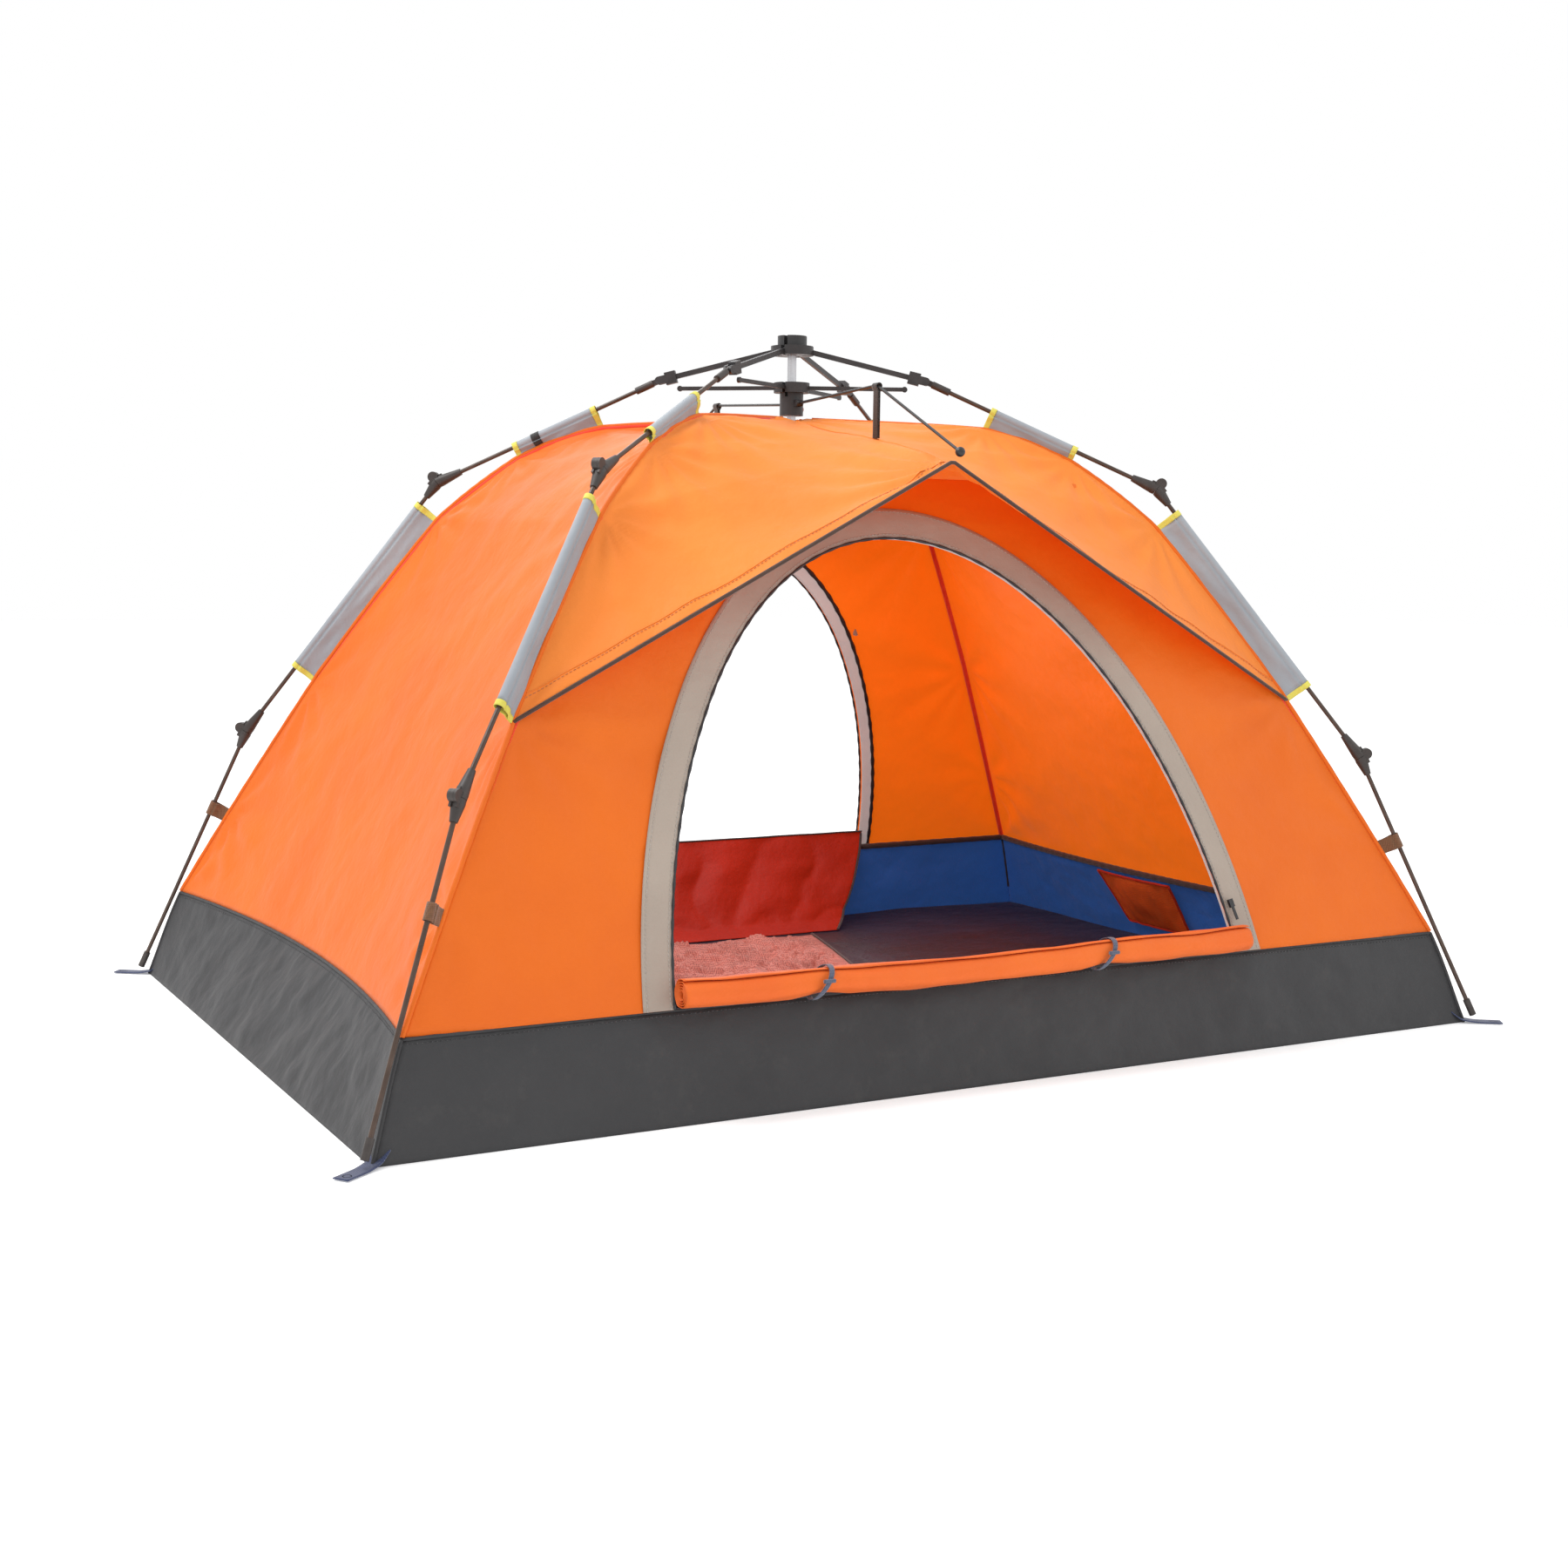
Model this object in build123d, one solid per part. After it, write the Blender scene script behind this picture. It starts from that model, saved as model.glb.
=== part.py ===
from build123d import *
import os
from math import atan2, cos, degrees, hypot, radians, sqrt

os.makedirs("parts", exist_ok=True)

# ---- Driving dimensions, millimetres. X across the doors' width, -Y the front door, +Z up. ----
FLOOR_X = 2000.0
FLOOR_Y = 1400.0
CLOTH = 1.5                 # thickness of every sewn sheet
SEAM_INSET = 3.0            # each panel stops this far short of the ridge seam
HALF_DIAG = hypot(FLOOR_X, FLOOR_Y) / 2
TO_X = FLOOR_X / 2 / HALF_DIAG
TO_Y = FLOOR_Y / 2 / HALF_DIAG

# The corner seam of the canopy: distance out along the floor's diagonal, and height.
SKIRT_TOP = (1155.0, 159.0)
LOWER_SLEEVE_FOOT = (890.0, 564.0)
SHOULDER = (648.0, 868.0)
UPPER_SLEEVE_FOOT = (499.0, 979.0)
UPPER_SLEEVE_HEAD = (340.0, 1035.0)
APEX = (0.0, 1050.0)
APEX_HOLE = 20.0            # the panels stop this far from the centre, under the hub
LOWER_SEAM = [(HALF_DIAG, 0.0), SKIRT_TOP, LOWER_SLEEVE_FOOT]
RIDGE = LOWER_SEAM + [SHOULDER, UPPER_SLEEVE_FOOT, UPPER_SLEEVE_HEAD, APEX]
EAVE_TIP = (-530.0, 957.0)  # y and z of the peak over the door
EAVE_LIFT = 6.0             # the roof sheet is sewn over the wall by this height
PANEL_FOOT = SKIRT_TOP[1] + 2   # the panels start just above the skirt

# Door opening, seen square on: the top of an ellipse, cut off level at the sill.
DOOR_SILL = 172.0
DOOR_TOP = 841.0
DOOR_CENTRE = 50.0
DOOR_X = -20.0              # the doorway isn't quite in the middle of its wall
DOOR_HALF = 528.0
TAPE_WIDTH = 48.0
ROLL_RADIUS = 24.0
ROLL_HALF = 525.0
TOGGLES = (-313.0, 207.0)
TUB_HEIGHT = 165.0
SIDE_CUT = 362.0            # height where the wall beside the door is divided
ARCH_BAND = (716.0, DOOR_TOP + 12)
ARCH_COLUMNS = (-FLOOR_X / 2, -150.0, 0.0, 150.0, FLOOR_X / 2)

# Frame, in the upright plane of one leg: distance out and height.
CROWN_PIVOT = (30.0, 1172.0)
ARM_PIVOT = (240.0, 1120.0)
STRUT_PIVOT = (24.0, 1108.0)
STRUT_END = (224.0, 1106.0)
KNEE_1 = (650.0, 935.0)
KNEE_2 = (1020.0, 470.0)
FOOT = (1236.0, 14.0)
POLE_RADIUS = 3.75
SOCKET_RADIUS = 10.5        # of a knee socket beside the hinge
MOUTH_RADIUS = 6.0          # of a knee socket where the pole goes in
LONG_SOCKET = 48.0          # on the upper pole of each knee
SHORT_SOCKET = 34.0         # on the lower pole of each knee
KNEE_OFFSET = 12.0          # hinge pin to pole axis, on the outer side of the bend
PIN_RADIUS = 2.5
RUNNING = 0.05              # radial clearance of a hinge pin in its eye
SLEEVE_RADIUS = 7.5
HEM = 9.0
EAVE_ROD_PATH = [(-27.5, 1080.0), (-295.0, 1094.0), (-550.0, 975.0)]
EAVE_ROD_RADIUS = 2.5
STRAP_END = 1288.0
EYELET_R = 5.0
SHAFT_RADIUS = 8.0
HOUSING_RADIUS = 21.0
LEGS = {"front_left": (-1, -1), "front_right": (1, -1), "back_left": (-1, 1), "back_right": (1, 1)}
DOORS = {"front": 0.0, "back": 180.0}


def save(name, *solids):
    """Write one node as its separate solids."""
    shapes = [s for item in solids for s in (item.solids() if hasattr(item, "solids") else item)]
    export_step(Compound(children=shapes) if len(shapes) > 1 else shapes[0], f"parts/{name}.step")


def leg_angle(signs):
    return degrees(atan2(signs[1] * FLOOR_Y, signs[0] * FLOOR_X))


# ---- Cloth: closed solids made from a grid of points and one offset ----
def ridge_radius(height):
    for (r0, z0), (r1, z1) in zip(RIDGE, RIDGE[1:]):
        if z0 <= height <= z1:
            return r0 + (r1 - r0) * (height - z0) / (z1 - z0)
    return 0.0


def facet(points):
    return Face(Wire.make_polygon(points, close=True))


def patch(a, b, c, d):
    """One flat four-sided face, or two triangles where the four points aren't in one plane."""
    normal = (b - a).cross(c - a)
    flat = abs(normal.normalized().dot(d - a)) < 1e-6
    return [facet([a, b, c, d])] if flat else [facet([a, b, c]), facet([a, c, d])]


def cloth(rows, offset):
    """A sheet through rows of points, thickened by one offset vector."""
    back = [[p + offset for p in row] for row in rows]
    faces = []
    for skin in (rows, back):
        for low, high in zip(skin, skin[1:]):
            for i in range(len(low) - 1):
                faces += patch(low[i], low[i + 1], high[i + 1], high[i])
    edge = rows[0] + [row[-1] for row in rows[1:]] + rows[-1][-2::-1] + [row[0] for row in rows[-2:0:-1]]
    for a, b in zip(edge, edge[1:] + edge[:1]):
        faces += patch(a, b, b + offset, a + offset)
    solid = Solid(Shell(faces))
    return solid if solid.volume > 0 else Solid(Shell([-f for f in faces]))


def strips(rows, offset):
    """The same sheet as flat strips that meet edge to edge, so that each is a convex solid."""
    return [cloth(pair, offset) for pair in zip(rows, rows[1:])]


def wall_rows(low, high, push=0.0, cuts=()):
    """Level rows of a wall that faces -Y, from height low to height high, pushed outward."""
    heights = sorted([low, high, *cuts] + [z for _, z in RIDGE if low < z < high])
    rows = []
    for z in heights:
        half = ridge_radius(z) * TO_X - SEAM_INSET
        y = -ridge_radius(z) * TO_Y - push
        rows.append([Vector(-half, y, z + push), Vector(half, y, z + push)])
    return rows


def end_panel():
    """The side panel that faces -X, from the skirt up to the apex."""
    rows = []
    for r, z in [(ridge_radius(PANEL_FOOT), PANEL_FOOT)] + RIDGE[2:-1] + [(APEX_HOLE, APEX[1])]:
        half = r * TO_Y - SEAM_INSET
        rows.append([Vector(-r * TO_X, -half, z), Vector(-r * TO_X, half, z)])
    return strips(rows, Vector(CLOTH, 0, -CLOTH))


def roof_rows():
    """One half of the roof: rows from the centre seam to the ridge seam, apex to free edge."""
    seam = [(APEX_HOLE, APEX[1])] + [UPPER_SLEEVE_HEAD, UPPER_SLEEVE_FOOT, SHOULDER, LOWER_SLEEVE_FOOT]
    seam = [Vector(p[0] * TO_X - SEAM_INSET, -p[0] * TO_Y, p[1]) for p in seam]
    steps = [(b - a).length for a, b in zip(seam, seam[1:])]
    peak = Vector(0, *EAVE_TIP)
    crest = Vector(0, seam[0].Y, seam[0].Z)
    rows = []
    for i, side in enumerate(seam):
        middle = crest + (peak - crest) * (sum(steps[:i]) / sum(steps))
        rows.append([p + Vector(0, 0, EAVE_LIFT) for p in (middle, (middle + side) * 0.5, side)])
    return rows


def roof_half():
    """The warped half of a roof as flat triangular plates."""
    plates = []
    for upper, lower in zip(roof_rows(), roof_rows()[1:]):
        for i in range(len(upper) - 1):
            for corners in ([upper[i], upper[i + 1], lower[i]], [upper[i + 1], lower[i + 1], lower[i]]):
                plates.append(extrude(facet(corners), amount=CLOTH, dir=(0, 0, -1)))
    return plates


def door_shape(grow=0.0):
    """The door's outline as a tool that cuts along Y, larger by grow all round but the sill."""
    outline = Pos(DOOR_X, DOOR_CENTRE) * Ellipse(DOOR_HALF + grow, DOOR_TOP - DOOR_CENTRE + grow)
    outline &= Pos(0, DOOR_SILL + 500) * Rectangle(FLOOR_X, 1000)
    return extrude(Plane.XZ * outline, amount=FLOOR_Y / 2)


def door_wall():
    """The wall round the doorway in flat strips; the strip under the arch is cut into columns."""
    rows = wall_rows(PANEL_FOOT, UPPER_SLEEVE_FOOT[1], cuts=(SIDE_CUT, *ARCH_BAND))
    pieces = []
    for low, high in zip(rows, rows[1:]):
        strip = cloth([low, high], Vector(0, CLOTH, -CLOTH)) - door_shape()
        if low[0].Z != ARCH_BAND[0]:
            pieces += strip.solids()
            continue
        for a, b in zip(ARCH_COLUMNS, ARCH_COLUMNS[1:]):
            column = Pos((a + b) / 2, -FLOOR_Y / 2, ARCH_BAND[0]) * Box(b - a, FLOOR_Y, 400)
            pieces += (strip & column).solids()
    return pieces


def door_tape():
    band = cloth(wall_rows(DOOR_SILL - 8, DOOR_TOP + 100, push=2 * CLOTH), Vector(0, CLOTH, -CLOTH))
    return (band & door_shape(TAPE_WIDTH)) - door_shape()


def sill_y(height):
    return -ridge_radius(height) * TO_Y


def door_roll():
    """The door panel rolled up along the outside of the sill."""
    z = DOOR_SILL + 14
    y = sill_y(z) - ROLL_RADIUS - 4 * CLOTH
    roll = Pos(DOOR_X, y, z) * Rot(0, 90, 0) * Cylinder(ROLL_RADIUS, 2 * ROLL_HALF)
    ring = Cylinder(ROLL_RADIUS + 2, 18) - Cylinder(ROLL_RADIUS + 0.3, 18)
    ties = [Pos(x, y, z) * Rot(0, 90, 0) * ring for x in TOGGLES]
    return roll, ties


def dropped_door():
    """The back door panel let down inside, from its sill to the floor."""
    top = (-540, sill_y(DOOR_SILL + 30) + 8, DOOR_SILL + 30)
    edge = [Vector(*p) for p in (top, (-500, -600, 110), (-440, -545, 25), (-410, -505, 6))]
    return strips([[p, Vector(470, p.Y, p.Z)] for p in edge], Vector(0, 2 * CLOTH, 0.5))


def dropped_mesh():
    """The back door's mesh panel lying loosely on the floor."""
    heap = [(-500, 6), (-480, 22), (-380, 28), (-250, 22), (-110, 6)]
    return strips([[Vector(-345, y, z), Vector(295, y, z)] for y, z in heap], Vector(0, 0, -2 * CLOTH))


def base_walls(inset, low, high):
    """Four leaning walls round the floor, each a separate convex strip."""
    walls = []
    for turn in (0, 90, 180, 270):
        along, out = (FLOOR_X, FLOOR_Y) if turn % 180 == 0 else (FLOOR_Y, FLOOR_X)
        rows = []
        for z in (low, high):
            shrink = ridge_radius(z) / HALF_DIAG
            half, y = along / 2 * shrink - inset - SEAM_INSET, -(out / 2 * shrink - inset)
            rows.append([Vector(-half, y, z), Vector(half, y, z)])
        walls.append(Rot(0, 0, turn) * cloth(rows, Vector(0, CLOTH, 0)))
    return walls


def groundsheet():
    """The floor and the inner tub walls that stand on it."""
    floor = Pos(0, 0, 1) * Box(FLOOR_X - 12, FLOOR_Y - 12, 2)
    return [floor] + base_walls(7, 2.2, TUB_HEIGHT)


def mesh_pocket():
    """On the right tub wall, hanging from the wall's top edge."""
    x = ridge_radius(TUB_HEIGHT) * TO_X - 24
    return Pos(x, 90, 98) * Box(2 * CLOTH, 240, 110)


# ---- Leg plane helpers: (out, up) points, with Y across the leg ----
def at(point, across=0.0):
    return Vector(point[0], across, point[1])


def unit(a, b):
    length = hypot(b[0] - a[0], b[1] - a[1])
    return ((b[0] - a[0]) / length, (b[1] - a[1]) / length)


def move(point, direction, distance):
    return (point[0] + direction[0] * distance, point[1] + direction[1] * distance)


def outer_normal(direction):
    return (-direction[1], direction[0])


def rod(a, b, radius):
    line = at(b) - at(a)
    return Solid.make_cylinder(radius, line.length, Plane(origin=at(a), z_dir=line))


def eye(point, radius, width, across=0.0):
    plane = Plane(origin=at(point, across - width / 2), z_dir=(0, 1, 0))
    return Solid.make_cylinder(radius, width, plane)


def bar(a, b, height, width, across=0.0):
    line = at(b) - at(a)
    plane = Plane(origin=at(a, across), x_dir=line, z_dir=(0, 1, 0))
    return plane.location * Pos(line.length / 2, 0, 0) * Box(line.length, height, width)


def knee_pivot(before, knee, after):
    """Hinge pin of a knee: KNEE_OFFSET outside both pole axes."""
    a, b = unit(before, knee), unit(knee, after)
    out = unit((0, 0), (-a[1] - b[1], a[0] + b[0]))
    half_bend = (degrees(atan2(a[0], a[1])) - degrees(atan2(b[0], b[1]))) / 2
    return move(knee, out, KNEE_OFFSET / cos(radians(half_bend)))


PIVOT_1 = knee_pivot(ARM_PIVOT, KNEE_1, KNEE_2)
PIVOT_2 = knee_pivot(KNEE_1, KNEE_2, FOOT)
LUG_RADIUS = 9.5
TONGUE = 6.0
CHEEK = 4.0
CHEEK_AT = TONGUE / 2 + 0.3 + CHEEK / 2


def knee_half(far, knee, other, pivot, tongue):
    """One moulded socket of a knee, on the pole that runs from far to the knee.

    The sockets' inner faces meet at rest and stop the bend; the leg folds the other way,
    outward and up. The tongue half sits between the two cheeks of the clevis half.
    """
    along = unit(far, knee)
    out = outer_normal(along) if outer_normal(along)[1] > 0 else (along[1], -along[0])
    length = LONG_SOCKET if far[1] > knee[1] else SHORT_SOCKET
    mouth = move(knee, along, -length)
    root = Plane(origin=at(mouth), z_dir=at(along))
    body = Solid.make_cone(MOUTH_RADIUS, SOCKET_RADIUS, length - 8, root)
    body += rod(move(knee, along, -8), move(knee, along, SOCKET_RADIUS), SOCKET_RADIUS)
    widths = [(TONGUE, 0.0)] if tongue else [(CHEEK, -CHEEK_AT), (CHEEK, CHEEK_AT)]
    gaps = [(CHEEK, -CHEEK_AT), (CHEEK, CHEEK_AT)] if tongue else [(TONGUE, 0.0)]
    heel = move(pivot, out, -6)
    for width, across in widths:
        body += bar(move(heel, along, -16), heel, 12, width, across)
    away = unit(knee, other)
    split = unit((0, 0), (along[0] + away[0], along[1] + away[1]))
    face = Plane(origin=at(move(pivot, split, -0.3)), z_dir=at(split))
    body -= face.location * Pos(0, 0, 50) * Box(100, 100, 100)
    for width, across in gaps:
        body -= eye(pivot, LUG_RADIUS + 0.6, width + 0.6, across)
    for width, across in widths:
        body += eye(pivot, LUG_RADIUS, width, across)
    body -= rod(move(mouth, along, -1), move(knee, along, -8), POLE_RADIUS)
    if tongue:
        return body - eye(pivot, PIN_RADIUS + RUNNING, 2 * SOCKET_RADIUS)
    return body + eye(pivot, PIN_RADIUS, 2 * (CHEEK_AT + CHEEK / 2))


def pole(a, b, trim_a, trim_b):
    along = unit(a, b)
    return rod(move(a, along, trim_a), move(b, along, -trim_b), POLE_RADIUS)


def hub_arm():
    """Arm from the crown to the bracket that carries the upper pole."""
    along = unit(CROWN_PIVOT, ARM_PIVOT)
    arm = bar(CROWN_PIVOT, move(ARM_PIVOT, along, -26), 9, 6) + eye(CROWN_PIVOT, 5.5, 6)
    arm += bar(move(ARM_PIVOT, along, -32), move(ARM_PIVOT, along, -12), 22, 14)
    for side in (-1, 1):
        arm += bar(move(ARM_PIVOT, along, -26), ARM_PIVOT, 14, CHEEK, side * CHEEK_AT)
        arm += eye(ARM_PIVOT, 7, CHEEK, side * CHEEK_AT)
    arm += eye(ARM_PIVOT, PIN_RADIUS, 2 * (CHEEK_AT + CHEEK / 2))
    return arm - eye(CROWN_PIVOT, PIN_RADIUS + RUNNING, 12)


def strut():
    """Brace from the runner towards the bracket's heel, which it doesn't quite reach."""
    tip = move(STRUT_END, unit(STRUT_PIVOT, STRUT_END), -22)
    piece = bar(STRUT_PIVOT, tip, 7, 5) + eye(STRUT_PIVOT, 5, 5) + eye(tip, 5, 5)
    return piece - eye(STRUT_PIVOT, PIN_RADIUS + RUNNING, 12)


def upper_fittings():
    along = unit(ARM_PIVOT, KNEE_1)
    hub_end = rod(move(ARM_PIVOT, along, 12), move(ARM_PIVOT, along, 46), 6.4)
    hub_end += bar(ARM_PIVOT, move(ARM_PIVOT, along, 20), 10, TONGUE) + eye(ARM_PIVOT, 6, TONGUE)
    hub_end -= rod(move(ARM_PIVOT, along, 20), move(ARM_PIVOT, along, 60), POLE_RADIUS)
    hub_end -= eye(ARM_PIVOT, PIN_RADIUS + RUNNING, 12)
    return hub_end, knee_half(ARM_PIVOT, KNEE_1, KNEE_2, PIVOT_1, tongue=True)


def middle_fittings():
    upper = knee_half(KNEE_2, KNEE_1, ARM_PIVOT, PIVOT_1, tongue=False)
    return upper, knee_half(KNEE_1, KNEE_2, FOOT, PIVOT_2, tongue=True)


def lower_fittings():
    """The clevis half of the lower knee, and the cap on the pole's foot."""
    along = unit(KNEE_2, FOOT)
    cap = rod(move(FOOT, along, -30), FOOT, 6)
    cap -= rod(move(FOOT, along, -31), move(FOOT, along, -4), POLE_RADIUS)
    return knee_half(FOOT, KNEE_2, KNEE_1, PIVOT_2, tongue=False), cap


# ---- Sleeves and straps that hold the canopy to a leg ----
def fin(ridge_a, ridge_b, pole_a, pole_b, start, end, bore=POLE_RADIUS + 1, wall=SLEEVE_RADIUS):
    """A flat web on the ridge seam with a tube round the pole, from start to end along the pole."""
    along, seam = unit(pole_a, pole_b), unit(ridge_a, ridge_b)
    out = outer_normal(along) if outer_normal(along)[1] > 0 else (along[1], -along[0])
    first, last = move(pole_a, along, start), move(pole_a, along, end)

    def on_seam(point):
        reach = (point[0] - ridge_a[0]) * out[0] + (point[1] - ridge_a[1]) * out[1]
        lean = seam[0] * along[0] + seam[1] * along[1]
        run = (point[0] - ridge_a[0]) * along[0] + (point[1] - ridge_a[1]) * along[1]
        drop = reach - run / lean * (seam[0] * out[0] + seam[1] * out[1])
        return move(point, out, -drop + 7)

    corners = [first, last, on_seam(last), on_seam(first)]
    web = facet([at(p, -CLOTH / 2) for p in corners])
    web = extrude(web, amount=CLOTH, dir=(0, 1, 0))
    return web + rod(first, last, wall) - rod(move(first, along, -1), move(last, along, 1), bore)


def sleeves():
    """Each sleeve's cloth and its two hem bands, for the two sleeves of one leg."""
    spans = [(UPPER_SLEEVE_HEAD, UPPER_SLEEVE_FOOT, ARM_PIVOT, KNEE_1),
             (SHOULDER, LOWER_SLEEVE_FOOT, KNEE_1, KNEE_2)]
    cloths, hems = [], []
    for ridge_a, ridge_b, pole_a, pole_b in spans:
        along = unit(pole_a, pole_b)
        start, end = [at(along).dot(at(p) - at(pole_a)) for p in (ridge_a, ridge_b)]
        start = max(start, SHORT_SOCKET + 5)
        cloths.append(fin(ridge_a, ridge_b, pole_a, pole_b, start + HEM, end - HEM))
        for low, high in ((start, start + HEM - 0.3), (end - HEM + 0.3, end)):
            hems.append(fin(ridge_a, ridge_b, pole_a, pole_b, low, high, wall=SLEEVE_RADIUS + 0.8))
    return cloths, hems


def sleeve_strap():
    """A black band round the upper sleeve of one leg, open where the sleeve's web passes."""
    along = unit(ARM_PIVOT, KNEE_1)
    start, end = move(ARM_PIVOT, along, 240), move(ARM_PIVOT, along, 256)
    band = rod(start, end, SLEEVE_RADIUS + 1.4) - rod(start, end, SLEEVE_RADIUS + 0.4)
    under = outer_normal(along)
    under = under if under[1] < 0 else (-under[0], -under[1])
    return band - bar(move(start, under, 9), move(end, under, 9), 8, 2.6)


def pole_tab():
    """Webbing tab from the corner seam to the lower pole."""
    return fin(LOWER_SLEEVE_FOOT, SKIRT_TOP, KNEE_2, FOOT, 150, 175)


def corner_strap():
    """Webbing from the floor's corner to the peg eyelet, with its foot patch."""
    strap = Pos((HALF_DIAG + STRAP_END) / 2 + 1, 0, 1) * Box(STRAP_END - HALF_DIAG - 2, 25, 2)
    return strap - Pos(STRAP_END - 16, 0, 1) * Cylinder(EYELET_R + 1.5, 4)


def peg_eyelet():
    ring = Cylinder(EYELET_R + 1.4, 3) - Cylinder(EYELET_R, 3)
    return Pos(STRAP_END - 16, 0, 1.5) * ring


def webbing_loop(y, top, bottom):
    """A keeper round the eave rod, sewn to the roof."""
    ring = Cylinder(EAVE_ROD_RADIUS + 4, 14) - Cylinder(EAVE_ROD_RADIUS + 2.6, 14)
    tail_top = top - EAVE_ROD_RADIUS - 3
    tail = Pos(0, y, (tail_top + bottom) / 2) * Box(2, 16, tail_top - bottom)
    return Pos(0, y, top) * Rot(90, 0, 0) * ring + tail


# ---- Hub ----
def crown():
    """Domed cap with four slots, each with a pin for one arm."""
    body = Pos(0, 0, 1173) * Cylinder(38, 16) + Pos(0, 0, 1190) * Cylinder(26, 18)
    for signs in LEGS.values():
        turn = Rot(0, 0, leg_angle(signs))
        body -= turn * Pos(40, 0, 1180) * Box(44, 6.8, 60)
        body += turn * eye(CROWN_PIVOT, PIN_RADIUS, 14)
    return body


def housing():
    """Runner: slotted collar for the struts, barrel below, eave rod lugs and a button pocket."""
    body = Pos(0, 0, 1108) * Cylinder(32, 18) + Pos(0, 0, 1079.5) * Cylinder(HOUSING_RADIUS, 41)
    body -= Pos(0, 0, 1080) * Cylinder(SHAFT_RADIUS + RUNNING, 120)
    for signs in LEGS.values():
        turn = Rot(0, 0, leg_angle(signs))
        body -= turn * Pos(30, 0, 1112) * Box(32, 5.8, 40)
        body += turn * eye(STRUT_PIVOT, PIN_RADIUS, 14)
    for turn in (90, -90):
        pivot = (-EAVE_ROD_PATH[0][0], EAVE_ROD_PATH[0][1])
        for side in (-1, 1):
            body += Rot(0, 0, turn) * bar((HOUSING_RADIUS - 4, pivot[1]), pivot, 11, 3, side * 4.8)
            body += Rot(0, 0, turn) * eye(pivot, 5.5, 3, side * 4.8)
        body += Rot(0, 0, turn) * eye(pivot, 2, 12)
    return body - Pos(HOUSING_RADIUS - 1, 0, 1071) * Rot(0, 90, 0) * Cylinder(5.3, 12)


def release_button():
    return Pos(HOUSING_RADIUS - 1, 0, 1071) * Rot(0, 90, 0) * Cylinder(5.0, 5)


def eave_rod():
    """Bent rod over the front eave, with an eye at the hub and a round end cap."""
    pivot, bend, tip = EAVE_ROD_PATH
    path = FilletPolyline(*[Vector(0, y, z) for y, z in EAVE_ROD_PATH], radius=60)
    section = Plane(origin=path @ 0, z_dir=path % 0) * Circle(EAVE_ROD_RADIUS)
    body = sweep(section, path=path) + Pos(0, *pivot) * Rot(0, 90, 0) * Cylinder(5, 6)
    return body - Pos(0, *pivot) * Rot(0, 90, 0) * Cylinder(2 + RUNNING, 8), Pos(0, *tip) * Sphere(8)


# ---- Zip sliders, on the nearly straight lower stretch of each door's right side ----
def zip_point(height):
    half = DOOR_HALF * sqrt(1 - ((height - DOOR_CENTRE) / (DOOR_TOP - DOOR_CENTRE)) ** 2)
    return Vector(DOOR_X + half + 9, sill_y(height) - 3.5 * CLOTH - 3.2, height + 3.5 * CLOTH)


ZIP_START = zip_point(235)
ZIP_END = zip_point(375)


def zip_slider():
    run = ZIP_END - ZIP_START
    plane = Plane(origin=ZIP_START, x_dir=run, z_dir=run.cross(Vector(1, 0, 0)))
    body = plane.location * (Box(14, 9, 5) + Pos(-16, 0, -1) * Box(26, 5, 1.6))
    return body


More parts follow.
